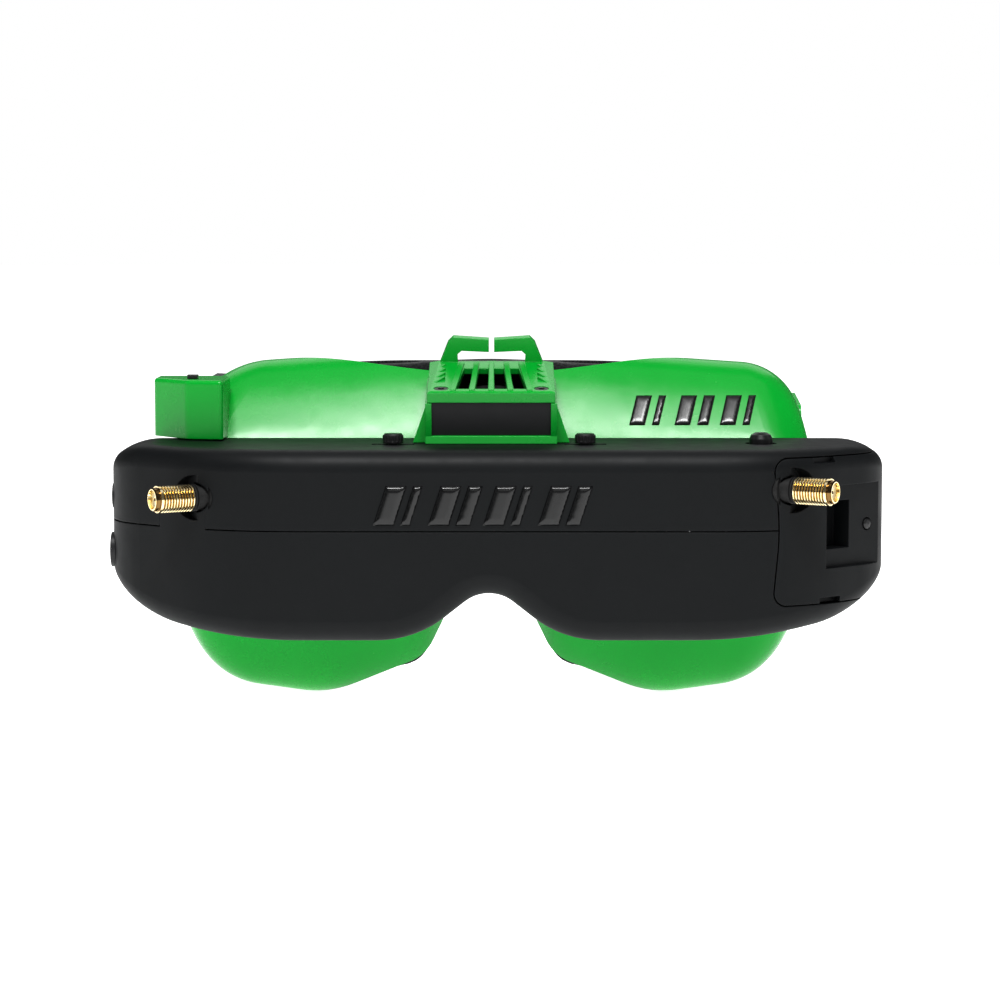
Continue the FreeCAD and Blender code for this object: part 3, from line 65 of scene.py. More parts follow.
class Shader:
    """A node material under construction: each call adds one node and returns its output."""

    def __init__(self, name):
        self.material = bpy.data.materials.new(name)
        self.material.use_nodes = True
        self.tree = self.material.node_tree
        self.bsdf = self.tree.nodes["Principled BSDF"]
        self.place = self.tree.nodes.new("ShaderNodeTexCoord").outputs["Object"]

    def add(self, kind, **settings):
        made = self.tree.nodes.new(kind)
        for key, setting in settings.items():
            setattr(made, key, setting)
        return made

    def feed(self, socket, source):
        if isinstance(source, bpy.types.NodeSocket):
            self.tree.links.new(source, socket)
        else:
            socket.default_value = source

    def noise(self, scale, detail=2.0, rough=0.5, stretch=None, source=None):
        made = self.add("ShaderNodeTexNoise")
        made.inputs["Scale"].default_value = scale
        made.inputs["Detail"].default_value = detail
        made.inputs["Roughness"].default_value = rough
        source = source or self.place
        self.feed(made.inputs["Vector"], self.stretched(source, stretch) if stretch else source)
        return made.outputs["Fac"]

    def stretched(self, source, factors):
        made = self.add("ShaderNodeVectorMath", operation="MULTIPLY")
        self.feed(made.inputs[0], source)
        made.inputs[1].default_value = factors
        return made.outputs[0]

    def range(self, source, low, high, to_low, to_high):
        made = self.add("ShaderNodeMapRange")
        ends = (("Value", source), ("From Min", low), ("From Max", high),
                ("To Min", to_low), ("To Max", to_high))
        for key, item in ends:
            self.feed(made.inputs[key], item)
        return made.outputs[0]

    def math(self, operation, a, b=0.0):
        made = self.add("ShaderNodeMath", operation=operation)
        self.feed(made.inputs[0], a)
        self.feed(made.inputs[1], b)
        return made.outputs[0]

    def mix(self, factor, a, b, blend="MIX"):
        made = self.add("ShaderNodeMix", data_type="RGBA", blend_type=blend)
        self.feed(made.inputs["Factor"], factor)
        self.feed(made.inputs[6], a)
        self.feed(made.inputs[7], b)
        return made.outputs[2]

    def bevel(self, radius):
        made = self.add("ShaderNodeBevel", samples=4)
        made.inputs["Radius"].default_value = radius
        return made.outputs[0]

    def edges(self, radius, low=0.004, high=0.12):
        """0 on flat ground and 1 along outer and inner edges."""
        true_normal = self.add("ShaderNodeNewGeometry").outputs["Normal"]
        made = self.add("ShaderNodeVectorMath", operation="DOT_PRODUCT")
        self.feed(made.inputs[0], self.bevel(radius))
        self.feed(made.inputs[1], true_normal)
        return self.range(self.math("SUBTRACT", 1.0, made.outputs["Value"]), low, high, 0.0, 1.0)

    def bump(self, height, strength, distance, normal=None):
        made = self.add("ShaderNodeBump")
        made.inputs["Strength"].default_value = strength
        made.inputs["Distance"].default_value = distance
        self.feed(made.inputs["Height"], height)
        if normal is not None:
            self.feed(made.inputs["Normal"], normal)
        return made.outputs[0]

    def put(self, **values):
        names = {"colour": "Base Color", "rough": "Roughness", "normal": "Normal", "metal": "Metallic",
                 "coat": "Coat Weight", "coat_rough": "Coat Roughness", "spec": "Specular IOR Level",
                 "sheen": "Sheen Weight", "sheen_rough": "Sheen Roughness", "sheen_tint": "Sheen Tint",
                 "ior": "IOR", "glass": "Transmission Weight", "aniso": "Anisotropic",
                 "glow": "Emission Color", "glow_strength": "Emission Strength"}
        for key, item in values.items():
            self.feed(self.bsdf.inputs[names[key]], item)
        return self.material


def rgb(r, g, b):
    return (r, g, b, 1.0)


def moulded(name, colour, rough, spread=0.06, grain=3200.0, depth=0.000012, bevel=0.0003, wear=0.35, worn=None,
            **extra):
    """Moulded plastic: slow tone drift, a fine spark-eroded grain, softened edges that catch light."""
    sh = Shader(name)
    drift = sh.noise(38.0, 3.0)
    tone = sh.mix(sh.range(drift, 0.35, 0.65, 0.0, 1.0), rgb(*[c * (1 - spread) for c in colour]),
                  rgb(*[min(c * (1 + spread), 1.0) for c in colour]))
    handled = sh.noise(210.0, 4.0, 0.6)
    if wear:
        edge = sh.math("MULTIPLY", sh.edges(bevel * 1.6), sh.range(handled, 0.42, 0.62, 0.2, wear))
        tone = sh.mix(edge, tone, rgb(*(worn or [min(c * 1.8 + 0.02, 1.0) for c in colour])))
    height = sh.math("ADD", sh.noise(grain, 2.0, 0.6), sh.math("MULTIPLY", sh.noise(grain * 0.27, 1.0), 0.8))
    normal = sh.bump(height, 0.55, depth, sh.bevel(bevel))
    sheen = sh.range(sh.math("ADD", sh.math("MULTIPLY", drift, 0.5), sh.math("MULTIPLY", handled, 0.5)),
                     0.38, 0.62, rough - 0.035, rough + 0.045)
    return sh.put(colour=tone, rough=sheen, normal=normal, **extra)


def housing_plastic():
    return moulded("housing_black", (0.0050, 0.0060, 0.0068), 0.50, grain=2600.0, depth=0.000016, wear=0.18,
                   worn=(0.016, 0.018, 0.020), spec=0.20)


def green_plastic():
    return moulded("green_shell", (0.0001, 0.360, 0.0330), 0.25, spread=0.035, grain=1500.0, depth=0.000010,
                   wear=0.30, worn=(0.02, 0.50, 0.07), spec=0.30, coat=0.10, coat_rough=0.14)


def gold_plate(name, side, reach, depth, height):
    """Turned gold plate, with painted shade: dark brown in the thread roots, and the jack's flange and neck at
    the housing's recess painted black.
    """
    sh = Shader(name)
    patches = sh.noise(900.0, 3.0)
    tone = sh.mix(sh.range(patches, 0.35, 0.65, 0.0, 1.0), rgb(0.97, 0.76, 0.38), rgb(1.0, 0.90, 0.62))
    offset = sh.add("ShaderNodeVectorMath", operation="SUBTRACT")
    sh.feed(offset.inputs[0], sh.place)
    offset.inputs[1].default_value = (side * reach * MM, -depth * MM, height * MM)
    along = sh.add("ShaderNodeVectorMath", operation="DOT_PRODUCT")
    sh.feed(along.inputs[0], offset.outputs[0])
    along.inputs[1].default_value = (side * math.cos(math.radians(30)), -0.5, 0.0)
    length = sh.add("ShaderNodeVectorMath", operation="LENGTH")
    sh.feed(length.inputs[0], offset.outputs[0])
    axial = along.outputs["Value"]
    squared = sh.math("SUBTRACT", sh.math("MULTIPLY", length.outputs["Value"], length.outputs["Value"]),
                      sh.math("MULTIPLY", axial, axial))
    radial = sh.math("SQRT", sh.math("MAXIMUM", squared, 0.0))
    # painted shade: the thread valleys are darkened to dark brown, as if in shadow
    groove = sh.range(radial, 0.00272, 0.00306, 1.0, 0.0)
    thread_root_shade = sh.math("MULTIPLY", groove, sh.math("GREATER_THAN", radial, 0.00255))
    # painted shade: up to about a millimetre along the axis from the base point, the jack turns black, matt and
    # non-metal, standing in for the shadow in the housing's recess
    recess_shade = sh.range(axial, 0.0009, 0.0013, 1.0, 0.0)
    tone = sh.mix(thread_root_shade, tone, rgb(0.16, 0.085, 0.022))
    tone = sh.mix(recess_shade, tone, rgb(0.006, 0.006, 0.006))
    rough = sh.math("ADD", sh.range(patches, 0.3, 0.7, 0.12, 0.22), sh.math("MULTIPLY", recess_shade, 0.5))
    return sh.put(colour=tone, metal=sh.math("SUBTRACT", 1.0, recess_shade), rough=rough,
                  normal=sh.bump(patches, 0.2, 0.000006))


def bare_metal(name, colour, rough, stretch):
    sh = Shader(name)
    lines = sh.noise(2600.0, 3.0, 0.6, stretch=stretch)
    tone = sh.mix(sh.range(lines, 0.3, 0.7, 0.0, 1.0), rgb(*[c * 0.86 for c in colour]), rgb(*colour))
    return sh.put(colour=tone, metal=1.0, rough=sh.range(lines, 0.3, 0.7, rough - 0.05, rough + 0.08),
                  normal=sh.bump(lines, 0.4, 0.000012, sh.bevel(0.0001)))


def black_oxide():
    sh = Shader("screw_black")
    speckle = sh.noise(2400.0, 3.0)
    edge = sh.edges(0.00022)
    dark = sh.mix(speckle, rgb(0.010, 0.010, 0.011), rgb(0.028, 0.028, 0.030))
    tone = sh.mix(edge, dark, rgb(0.20, 0.20, 0.21))
    return sh.put(colour=tone, metal=0.75, rough=sh.range(speckle, 0.3, 0.7, 0.28, 0.42),
                  normal=sh.bump(speckle, 0.3, 0.00001, sh.bevel(0.00012)))


def glass_lens():
    sh = Shader("lens_glass")
    haze = sh.noise(160.0, 2.0)
    fresnel = sh.add("ShaderNodeLayerWeight")
    fresnel.inputs["Blend"].default_value = 0.35
    tone = sh.mix(fresnel.outputs["Facing"], rgb(0.93, 0.97, 0.98), rgb(0.62, 0.55, 0.85))
    return sh.put(colour=tone, glass=1.0, ior=1.52, rough=sh.range(haze, 0.3, 0.7, 0.015, 0.045), coat=0.6,
                  coat_rough=0.03)


def display_black():
    sh = Shader("display")
    cells = sh.add("ShaderNodeTexBrick")
    cells.inputs["Scale"].default_value = 4200.0
    cells.inputs["Mortar Size"].default_value = 0.012
    sh.feed(cells.inputs["Vector"], sh.place)
    tone = sh.mix(cells.outputs["Fac"], rgb(0.006, 0.007, 0.012), rgb(0.016, 0.017, 0.024))
    return sh.put(colour=tone, rough=sh.range(sh.noise(90.0), 0.3, 0.7, 0.06, 0.14), coat=0.8, coat_rough=0.04)


def circuit_board():
    sh = Shader("circuit_board")
    cells = sh.add("ShaderNodeTexVoronoi", feature="DISTANCE_TO_EDGE", distance="CHEBYCHEV")
    cells.inputs["Scale"].default_value = 420.0
    sh.feed(cells.inputs["Vector"], sh.place)
    trace = sh.range(cells.outputs["Distance"], 0.03, 0.07, 1.0, 0.0)
    pads = sh.add("ShaderNodeTexVoronoi", feature="F1")
    pads.inputs["Scale"].default_value = 640.0
    sh.feed(pads.inputs["Vector"], sh.place)
    pad = sh.range(pads.outputs["Distance"], 0.16, 0.19, 1.0, 0.0)
    tone = sh.mix(trace, rgb(0.010, 0.085, 0.040), rgb(0.022, 0.17, 0.075))
    tone = sh.mix(pad, tone, rgb(0.72, 0.68, 0.56))
    return sh.put(colour=tone, rough=sh.range(pad, 0.0, 1.0, 0.42, 0.25), normal=sh.bump(trace, 0.4, 0.00003))


def white_insulator():
    sh = Shader("insulator")
    cloud = sh.noise(500.0, 3.0)
    tone = sh.mix(cloud, rgb(0.70, 0.67, 0.58), rgb(0.86, 0.84, 0.78))
    return sh.put(colour=tone, rough=sh.range(cloud, 0.3, 0.7, 0.38, 0.5), normal=sh.bump(cloud, 0.2, 0.00001))


def foam_cloth():
    """Short-pile knit over foam, with faint lint."""
    sh = Shader("foam")
    knit = sh.add("ShaderNodeTexVoronoi", feature="F1")
    knit.inputs["Scale"].default_value = 1500.0
    sh.feed(knit.inputs["Vector"], sh.stretched(sh.place, (1.0, 1.0, 1.6)))
    cells = knit.outputs["Distance"]
    blotch = sh.noise(70.0, 4.0, 0.6)
    tone = sh.mix(sh.range(cells, 0.1, 0.7, 0.0, 1.0), rgb(0.030, 0.030, 0.033), rgb(0.008, 0.008, 0.009))
    tone = sh.mix(sh.range(blotch, 0.5, 0.75, 0.0, 0.35), tone, rgb(0.045, 0.045, 0.048))
    height = sh.math("ADD", sh.math("MULTIPLY", cells, -1.0), sh.math("MULTIPLY", sh.noise(4200.0, 2.0), 0.4))
    return sh.put(colour=tone, rough=0.92, normal=sh.bump(height, 0.8, 0.00012), sheen=0.35, sheen_rough=0.5,
                  spec=0.2)


def webbing_cloth():
    """Woven elastic: ribs across, yarns along, a red line near the top edge.  UV is in metres."""
    sh = Shader("webbing")
    uv = sh.add("ShaderNodeUVMap", uv_map="along_across").outputs[0]
    split = sh.add("ShaderNodeSeparateXYZ")
    sh.feed(split.inputs[0], uv)
    along, across = split.outputs[0], split.outputs[1]
    rib = sh.math("SINE", sh.math("MULTIPLY", along, 2 * math.pi / 0.0011))
    phase = sh.math("MULTIPLY", sh.math("SINE", sh.math("MULTIPLY", along, math.pi / 0.0011)), 1.1)
    yarn = sh.math("SINE", sh.math("ADD", sh.math("MULTIPLY", across, 2 * math.pi / 0.0013), phase))
    weave = sh.math("ADD", sh.math("MULTIPLY", rib, 0.6), sh.math("MULTIPLY", yarn, 0.5))
    fuzz = sh.noise(5200.0, 2.0, 0.6)
    tone = sh.mix(sh.range(weave, -0.9, 0.9, 0.0, 1.0), rgb(0.006, 0.006, 0.007), rgb(0.026, 0.026, 0.029))
    band = sh.math("MULTIPLY", sh.math("GREATER_THAN", across, 0.0352), sh.math("LESS_THAN", across, 0.0366))
    red = sh.mix(sh.range(weave, -0.9, 0.9, 0.0, 1.0), rgb(0.16, 0.006, 0.012), rgb(0.42, 0.018, 0.03))
    tone = sh.mix(band, tone, red)
    tone = sh.mix(sh.range(sh.noise(55.0, 3.0), 0.5, 0.8, 0.0, 0.3), tone, rgb(0.04, 0.04, 0.043))
    height = sh.math("ADD", weave, sh.math("MULTIPLY", fuzz, 0.5))
    return sh.put(colour=tone, rough=0.88, normal=sh.bump(height, 0.75, 0.00012), sheen=0.3, sheen_rough=0.45,
                  spec=0.25)


MATERIALS = {
    "housing_black": housing_plastic(),
    "green_shell": green_plastic(),
    "inner_black": moulded("inner_black", (0.014, 0.0145, 0.016), 0.42, grain=3000.0, wear=0.25, spec=0.4),
    "control_black": moulded("control_black", (0.011, 0.0112, 0.012), 0.30, grain=3600.0, depth=0.000008,
                             bevel=0.0002, wear=0.3, spec=0.5),
    "fan_black": moulded("fan_black", (0.017, 0.0175, 0.019), 0.50, grain=2200.0, depth=0.00002, wear=0.2,
                         spec=0.35),
    "gold": gold_plate("gold_left", -1, 69.15, 53.2445, 7.5),
    "insulator": white_insulator(),
    "steel": bare_metal("steel", (0.62, 0.62, 0.64), 0.24, (0.06, 1.0, 1.0)),
    "shield_can": bare_metal("shield_can", (0.66, 0.66, 0.63), 0.34, (1.0, 1.0, 0.1)),
    "screw_black": black_oxide(),
    "circuit_board": circuit_board(),
    "lens_glass": glass_lens(),
    "display": display_black(),
    "foam": foam_cloth(),
    "webbing": webbing_cloth(),
}

GOLD_RIGHT = gold_plate("gold_right", 1, 71.1, 56.3249, 9.5)
for part in frame["record"]["subparts"]:
    mesh = NODES[part["node"]].data
    mesh.materials.clear()
    right_jack = part["node"] in ("sma_body_right", "sma_contact_right")
    mesh.materials.append(GOLD_RIGHT if right_jack else MATERIALS[part["material_slot"]])
    mesh.polygons.foreach_set("material_index", [0] * len(mesh.polygons))


# ---------------------------------------------------------------- pieces

def piece(name, mesh, material):
    """Put a new mesh in the scene, riding on the housing, with its material."""
    made = bpy.data.objects.new(name, mesh)
    scene.collection.objects.link(made)
    mesh.materials.append(material)
    mesh.shade_smooth()
    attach(made, "housing")
    return made


def round_corners(corners, step):
    """Points about one step apart along a line of (x, y, corner radius), its corners rounded."""
    line = [Vector(corners[0][:2])]
    for before, (x, y, radius), after in zip(corners, corners[1:], corners[2:]):
        here = Vector((x, y))
        back = (Vector(before[:2]) - here).normalized()
        ahead = (Vector(after[:2]) - here).normalized()
        half_turn = (math.pi - back.angle(ahead)) / 2
        reach = radius * math.tan(half_turn)
        centre = here + (back + ahead).normalized() * radius / math.cos(half_turn)
        start, end = here + back * reach - centre, here + ahead * reach - centre
        count = max(3, round(2 * half_turn * radius / step))
        sweep = start.angle_signed(end)
        for k in range(count + 1):
            turn = -sweep * k / count
            spun = Vector((start.x * math.cos(turn) - start.y * math.sin(turn),
                           start.x * math.sin(turn) + start.y * math.cos(turn)))
            line.append(centre + spun)
    line.append(Vector(corners[-1][:2]))
    return resampled(line, step)


def resampled(line, step):
    """The same line with its points evenly spaced."""
    lengths = [0.0]
    for a, b in zip(line, line[1:]):
        lengths.append(lengths[-1] + (b - a).length)
    count = max(2, round(lengths[-1] / step))
    points, k = [], 0
    for i in range(count + 1):
        want = lengths[-1] * i / count
        while k < len(lengths) - 2 and lengths[k + 1] < want:
            k += 1
        span = max(lengths[k + 1] - lengths[k], 1e-9)
        points.append(line[k].lerp(line[k + 1], (want - lengths[k]) / span))
    return points


# ---------------------------------------------------------------- head strap

STRAP_FRAME = Matrix.Translation(Vector((0, 26.0, 5.0)) * MM) @ Matrix.Rotation(math.radians(7.2), 4, "X")
BAND_HALF = 19.0
BAND_THICK = 1.2


def ribbon(mesh_data, line, thick, start_along=0.0, swell=0.0):
    """A woven band along a plan line in millimetres, with rounded edges; UV is in metres."""
    build, uv = mesh_data
    half = thick / 2
    rows = 14
    profile = [(half, -BAND_HALF + 0.35)]
    profile += [(half, -BAND_HALF + 0.35 + (2 * BAND_HALF - 0.7) * k / rows) for k in range(1, rows + 1)]
    profile += [(half * 0.6, BAND_HALF), (-half * 0.6, BAND_HALF)]
    profile += [(-half, BAND_HALF - 0.35 - (2 * BAND_HALF - 0.7) * k / rows) for k in range(rows + 1)]
    profile += [(-half * 0.6, -BAND_HALF), (half * 0.6, -BAND_HALF)]
    rings, along, total = [], [], start_along
    for k, point in enumerate(line):
        ahead = line[min(k + 1, len(line) - 1)] - line[max(k - 1, 0)]
        side = Vector((ahead.y, -ahead.x)).normalized()
        if k:
            total += (point - line[k - 1]).length
        ripple = swell * noise.noise(Vector((total * 0.035, 3.1, 0.7)))
        ring = []
        for offset, height in profile:
            curl = ripple * (height / BAND_HALF) ** 2
            spot = point + side * (offset + curl)
            ring.append(build.verts.new(STRAP_FRAME @ (Vector((spot.x, spot.y, height)) * MM)))
        rings.append(ring)
        along.append(total * MM)
    across = [(height + BAND_HALF) * MM for _, height in profile]
    count = len(profile)
    for k in range(len(rings) - 1):
        for i in range(count):
            j = (i + 1) % count
            face = build.faces.new((rings[k][i], rings[k + 1][i], rings[k + 1][j], rings[k][j]))
            for loop, (u, v) in zip(face.loops, ((k, i), (k + 1, i), (k + 1, j), (k, j))):
                loop[uv].uv = (along[u], across[v])
    for ring, k, order in ((rings[0], 0, 1), (rings[-1], len(rings) - 1, -1)):
        face = build.faces.new(ring[::order])
        for loop in face.loops:
            loop[uv].uv = (along[k], across[ring.index(loop.vert)])
    return total


OUTER_LINE = [(-77.3, 11.6, 0), (-66.0, 60.0, 26), (-30.0, 70.0, 60), (30.0, 70.0, 60), (66.0, 60.0, 26),
              (77.3, 11.6, 0)]


def strap_line():
    """Plan line of the band's middle, from the left tip round the back to the right tip."""
    shifted = []
    line = round_corners(OUTER_LINE, 1.5)
    for k, point in enumerate(line):
        ahead = line[min(k + 1, len(line) - 1)] - line[max(k - 1, 0)]
        inward = Vector((ahead.y, -ahead.x)).normalized()
        shifted.append(point + inward * 0.8)
    return shifted


def loop_line(sign):
    """The fold round the ear's post: out through the slot, round the post and back along the band."""
    inner, outer, front = 75.35, 80.45, 0.85
    plan = [(inner + 0.4, 11.5, 0), (inner, 7.2, 2.0), (inner, front, 1.2),
            (outer, front, 1.2), (outer, 7.2, 2.0), (77.9, 11.4, 0)]
    return [Vector((sign * p.x, p.y)) for p in round_corners(plan, 0.35)]


def build_strap():
    build = bmesh.new()
    uv = build.loops.layers.uv.new("along_across")
    line = strap_line()
    ribbon((build, uv), line, BAND_THICK, swell=0.22)
    for sign in (-1, 1):
        ribbon((build, uv), loop_line(sign), 1.1)
        tip = line if sign < 0 else line[::-1]
        tail = []
        for k, point in enumerate(tip[:24]):
            ahead = tip[k + 1] - point
            inward = Vector((ahead.y, -ahead.x)).normalized() * (1 if sign < 0 else -1)
            gap = 1.35 + 0.5 * max(0.0, (k - 18) / 6)
            tail.append(point + inward * gap)
        ribbon((build, uv), tail, 1.1)
    bmesh.ops.recalc_face_normals(build, faces=build.faces)
    mesh = bpy.data.meshes.new("strap_band")
    build.to_mesh(mesh)
    strap = piece("strap_band", mesh, MATERIALS["webbing"])
    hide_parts("head_strap")
    return line


def thread_material(name, colour):
    sh = Shader(name)
    twist = sh.noise(9000.0, 1.0, stretch=(1.0, 0.4, 1.0))
    tone = sh.mix(twist, rgb(*[c * 0.6 for c in colour]), rgb(*colour))
    return sh.put(colour=tone, rough=0.7, normal=sh.bump(twist, 0.5, 0.00004), sheen=0.3)


BLACK_THREAD = thread_material("thread_black", (0.05, 0.05, 0.055))


STITCH_HALF = 0.85        # half a stitch's length, in millimetres like the rest of the strap
STITCH_PITCH = 2.35
STITCH_SIDES = 6
STITCH_ROWS = (5, 9)      # how many steps from each end of the band the two rows are


def stitch(build, line, k, middle_height):
    """One bead of thread standing up the band's outer face."""
    ahead = (line[k + 1] - line[k]).normalized()
    outward = Vector((-ahead.y, ahead.x))
    base = line[k].lerp(line[k + 1], 0.5) + outward * (BAND_THICK / 2 + 0.06)
    run = Vector((ahead.x, ahead.y, 0.0))
    out_way = Vector((outward.x, outward.y, 0.0))
    spot = Vector((base.x, base.y, middle_height))
    rings = []
    for t in (-1.0, -0.6, 0.0, 0.6, 1.0):
        width = 0.26 * math.sqrt(max(0.06, 1 - t * t * 0.8))
        lift = 0.18 * (1 - t * t)
        ring = []
        for a in range(STITCH_SIDES):
            angle = 2 * math.pi * a / STITCH_SIDES
            offset = run * (math.cos(angle) * width)
            offset += out_way * (math.sin(angle) * width * 0.7 + lift)
            rise = Vector((0.0, 0.0, t * STITCH_HALF))
            ring.append(build.verts.new(STRAP_FRAME @ ((spot + rise + offset) * MM)))
        rings.append(ring)
    for a, b in zip(rings, rings[1:]):
        for i in range(STITCH_SIDES):
            j = (i + 1) % STITCH_SIDES
            build.faces.new((a[i], a[j], b[j], b[i]))
    build.faces.new(rings[0][::-1])
    build.faces.new(rings[-1])


def build_stitches(line):
    """Two rows of stitches at each end, where the folded end is sewn to the band."""
    build = bmesh.new()
    for steps in STITCH_ROWS:
        for k in (steps, len(line) - 2 - steps):
            height = -BAND_HALF + 3.0
            while height < BAND_HALF - 3.0:
                stitch(build, line, k, height + STITCH_HALF)
                height += STITCH_PITCH
    bmesh.ops.recalc_face_normals(build, faces=build.faces)
    mesh = bpy.data.meshes.new("strap_stitches")
    build.to_mesh(mesh)
    return piece("strap_stitches", mesh, BLACK_THREAD)


build_stitches(build_strap())


# ---------------------------------------------------------------- face foam

FOAM_VOXEL = 0.0013
FOAM_SLIMMER = 0.0009     # how far the copy is drawn in first, so that it swells inside the CAD shape
FOAM_SWELL = 0.0007       # the furthest that a point may move as it swells
CLOTH_FRAMES = 20


def apply_modifiers(obj):
    graph = bpy.context.evaluated_depsgraph_get()
    graph.update()
    made = bpy.data.meshes.new_from_object(obj.evaluated_get(graph))
    obj.modifiers.clear()
    obj.data = made


def shrunk(obj, depth):
    """Move every point in along its normal, and return where they are now."""
    places = np.empty(len(obj.data.vertices) * 3)
    normals = np.empty(len(obj.data.vertices) * 3)
    obj.data.vertices.foreach_get("co", places)
    obj.data.vertices.foreach_get("normal", normals)
    places -= normals * depth
    obj.data.vertices.foreach_set("co", places)
    obj.data.update()
    return places.reshape(-1, 3)


def cap_motion(obj, start, limit):
    """Hold every point within a set distance of where it started."""
    places = np.empty(len(obj.data.vertices) * 3)
    obj.data.vertices.foreach_get("co", places)
    moved = places.reshape(-1, 3) - start
    length = np.linalg.norm(moved, axis=1, keepdims=True)
    moved *= np.minimum(1.0, limit / np.maximum(length, 1e-9))
    obj.data.vertices.foreach_set("co", (start + moved).ravel())
    obj.data.update()


def build_foam():
    """The foam swells by cloth pressure from a slightly slimmer copy of its CAD shape."""
    source = NODES["face_foam"]
    slim = bmesh.new()
    slim.from_mesh(source.data)
    bmesh.ops.remove_doubles(slim, verts=slim.verts, dist=0.00001)
    mesh = bpy.data.meshes.new("foam_pad")
    slim.to_mesh(mesh)
    pad = piece("foam_pad", mesh, MATERIALS["foam"])
    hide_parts("face_foam")
    remesh = pad.modifiers.new("remesh", "REMESH")
    remesh.mode = "VOXEL"
    remesh.voxel_size = FOAM_VOXEL
    apply_modifiers(pad)
    start = shrunk(pad, FOAM_SLIMMER)
    cloth = pad.modifiers.new("cloth", "CLOTH")
    cloth.settings.use_pressure = True
    cloth.settings.uniform_pressure_force = 4.0
    cloth.settings.effector_weights.gravity = 0.0
    cloth.settings.tension_stiffness = 25.0
    cloth.settings.compression_stiffness = 25.0
    cloth.settings.bending_stiffness = 2.0
    cloth.point_cache.frame_start = 1
    cloth.point_cache.frame_end = CLOTH_FRAMES
    for step in range(1, CLOTH_FRAMES + 1):
        scene.frame_set(step)
    apply_modifiers(pad)
    scene.frame_set(1)
    cap_motion(pad, start, FOAM_SWELL)
    relax = pad.modifiers.new("smooth", "SMOOTH")
    relax.factor = 0.5
    relax.iterations = 6
    round_off = pad.modifiers.new("subdivision", "SUBSURF")
    round_off.levels = 1
    round_off.render_levels = 1
    apply_modifiers(pad)
    pad.data.shade_smooth()
    return pad


build_foam()


# ---------------------------------------------------------------- generic marks on the front

def surface_tree(*names):
    """A ray target made of some nodes' meshes."""
    points, faces = [], []
    for name in names:
        mesh = NODES[name].data
        first = len(points)
        points += [v.co.copy() for v in mesh.vertices]
        faces += [[first + k for k in p.vertices] for p in mesh.polygons]
    return BVHTree.FromPolygons(points, faces)


def inlay(name, target, outlines, material, lift, crown, step=0.0009):
    """Thin raised shapes given as front-view outlines in millimetres, laid on a surface from the front."""
    build = bmesh.new()
    for outline in outlines:
        flat = bmesh.new()
        flat.faces.new([flat.verts.new((x * MM, 0, z * MM)) for x, z in outline])
        bmesh.ops.triangulate(flat, faces=flat.faces)
        for _ in range(7):
            long_edges = [e for e in flat.edges if e.calc_length() > step]
            if not long_edges:
                break
            bmesh.ops.subdivide_edges(flat, edges=long_edges, cuts=1)
            bmesh.ops.triangulate(flat, faces=flat.faces)
        border = {v for e in flat.edges if e.is_boundary for v in e.verts}
        walls = [v.co.copy() for v in border]
        base = {}
        for v in flat.verts:
            hit, normal, _, _ = target.ray_cast(Vector((v.co.x, -0.2, v.co.z)), Vector((0, 1, 0)))
            if hit is None:
                continue
            if normal.y > 0:
                normal = -normal
            inner = min((v.co - w).length for w in walls) if v not in border else 0.0
            share = min(inner / 0.0012, 1.0)
            rise = lift * 0.35 if v in border else lift * 0.8 + crown * math.sqrt(share)
            base[v] = (hit, normal, rise)
        top, foot = {}, {}
        for v, (hit, normal, rise) in base.items():
            top[v] = build.verts.new(hit + normal * rise)
            if v in border:
                foot[v] = build.verts.new(hit - normal * 0.00004)
        for f in flat.faces:
            if all(v in top for v in f.verts):
                build.faces.new([top[v] for v in f.verts])
        for e in flat.edges:
            if e.is_boundary and all(v in foot for v in e.verts):
                a, b = e.verts
                build.faces.new((top[a], top[b], foot[b], foot[a]))
        flat.free()
    bmesh.ops.recalc_face_normals(build, faces=build.faces)
    mesh = bpy.data.meshes.new(name)
    build.to_mesh(mesh)
    return piece(name, mesh, material)


def slanted_bar(x, z_low, z_high, width, lean):
    return [(x, z_low), (x + width, z_low), (x + width + lean, z_high), (x + lean, z_high)]


MARK_LOW, MARK_HIGH, MARK_LEAN = 1.6, 10.8, 3.0
front_marks = [slanted_bar(-27.0 + 6.4 * k, MARK_LOW, MARK_HIGH, width, MARK_LEAN)
               for k, width in enumerate((4.9, 2.2, 4.9, 3.4, 4.9, 2.2, 4.9, 3.4))]
gloss_black = moulded("inlay_gloss", (0.003, 0.0033, 0.0036), 0.24, grain=5000.0, depth=0.000002,
                      wear=0.0, spec=0.4, coat=0.25, coat_rough=0.10)
housing_front = surface_tree("upper_shell", "lower_shell")
inlay("front_inlay", housing_front, front_marks, gloss_black, 0.00035, 0.00045)
lobe_marks = [slanted_bar(34.5 + 5.6 * k, 21.8, 28.8, width, 2.0)
              for k, width in enumerate((3.9, 1.8, 3.9, 2.8, 3.9, 1.8))]
inlay("lobe_inlay", surface_tree("faceplate"), lobe_marks, gloss_black, 0.00025, 0.0002)


# ---------------------------------------------------------------- camera, light and floor

AIM = Vector((2.6, -60.0, 7.6)) * MM
ELEVATION = math.radians(5.5)
DISTANCE = 0.700


def aimed(obj, place, target):
    obj.location = place
    obj.rotation_mode = "QUATERNION"
    obj.rotation_quaternion = (Vector(target) - Vector(place)).to_track_quat("-Z", "Y")
    scene.collection.objects.link(obj)
    return obj


camera_data = bpy.data.cameras.new("camera")
camera_data.sensor_width = 36.0
camera_data.lens = 108.4
camera_data.clip_start = 0.05
camera_data.clip_end = 20.0
camera_place = AIM + Vector((0, -math.cos(ELEVATION), math.sin(ELEVATION))) * DISTANCE
scene.camera = aimed(bpy.data.objects.new("camera", camera_data), camera_place, AIM)


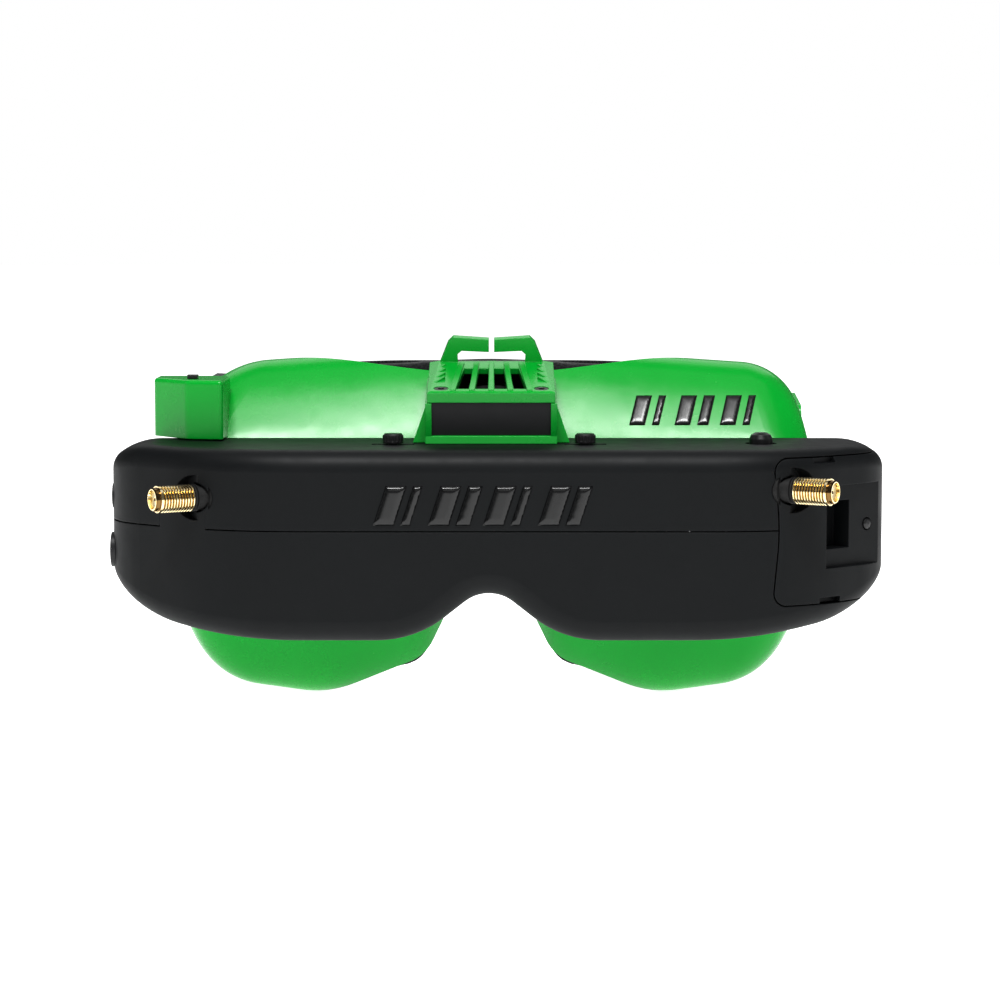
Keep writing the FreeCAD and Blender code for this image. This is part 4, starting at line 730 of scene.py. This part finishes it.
def softbox(name, azimuth, elevation, distance, width, height, power, target=(0.0, -0.02, 0.01)):
    data = bpy.data.lights.new(name, "AREA")
    data.shape = "RECTANGLE"
    data.size = width
    data.size_y = height
    data.energy = power
    a, e = math.radians(azimuth), math.radians(elevation)
    way = Vector((math.sin(a) * math.cos(e), -math.cos(a) * math.cos(e), math.sin(e)))
    return aimed(bpy.data.objects.new(name, data), Vector(target) + way * distance, target)


softbox("key_left", -17, 62, 1.3, 0.30, 0.22, 9.6)
softbox("key_right", 19, 62, 1.3, 0.30, 0.22, 8.8)
softbox("front", 0, 24, 1.6, 1.0, 0.5, 1.6)
softbox("top", 0, 86, 1.3, 1.4, 0.9, 2.6)
softbox("side_left", -88, 18, 1.5, 0.7, 0.9, 1.3)
softbox("side_right", 88, 18, 1.5, 0.7, 0.9, 1.3)
softbox("back", 180, 38, 1.5, 1.4, 0.9, 4.0)

world = bpy.data.worlds.new("studio")
scene.world = world
world.use_nodes = True
backdrop = world.node_tree.nodes["Background"]
backdrop.inputs["Strength"].default_value = 0.13
seen = world.node_tree.nodes.new("ShaderNodeBackground")
seen.inputs["Color"].default_value = (1.0, 1.0, 1.0, 1.0)
backdrop.inputs["Color"].default_value = (1.0, 1.0, 1.0, 1.0)
path = world.node_tree.nodes.new("ShaderNodeLightPath")
blend = world.node_tree.nodes.new("ShaderNodeMixShader")
world.node_tree.links.new(path.outputs["Is Camera Ray"], blend.inputs[0])
world.node_tree.links.new(backdrop.outputs[0], blend.inputs[1])
world.node_tree.links.new(seen.outputs[0], blend.inputs[2])
world.node_tree.links.new(blend.outputs[0], world.node_tree.nodes["World Output"].inputs[0])
scene.view_settings.view_transform = "Standard"
scene.view_settings.gamma = 0.86

floor_mesh = bmesh.new()
bmesh.ops.create_circle(floor_mesh, cap_ends=True, segments=96, radius=6.0)
floor_data = bpy.data.meshes.new("floor")
floor_mesh.to_mesh(floor_data)
floor = bpy.data.objects.new("floor", floor_data)
floor.location = (0, 0, cad_box[0].z - 0.0004)
scene.collection.objects.link(floor)
pale = Shader("floor_pale")
pale_tone = pale.mix(pale.noise(3.0, 2.0), rgb(0.90, 0.90, 0.90), rgb(0.93, 0.93, 0.93))
floor_data.materials.append(pale.put(colour=pale_tone, rough=0.9, spec=0.1, glow=pale_tone, glow_strength=1.05))
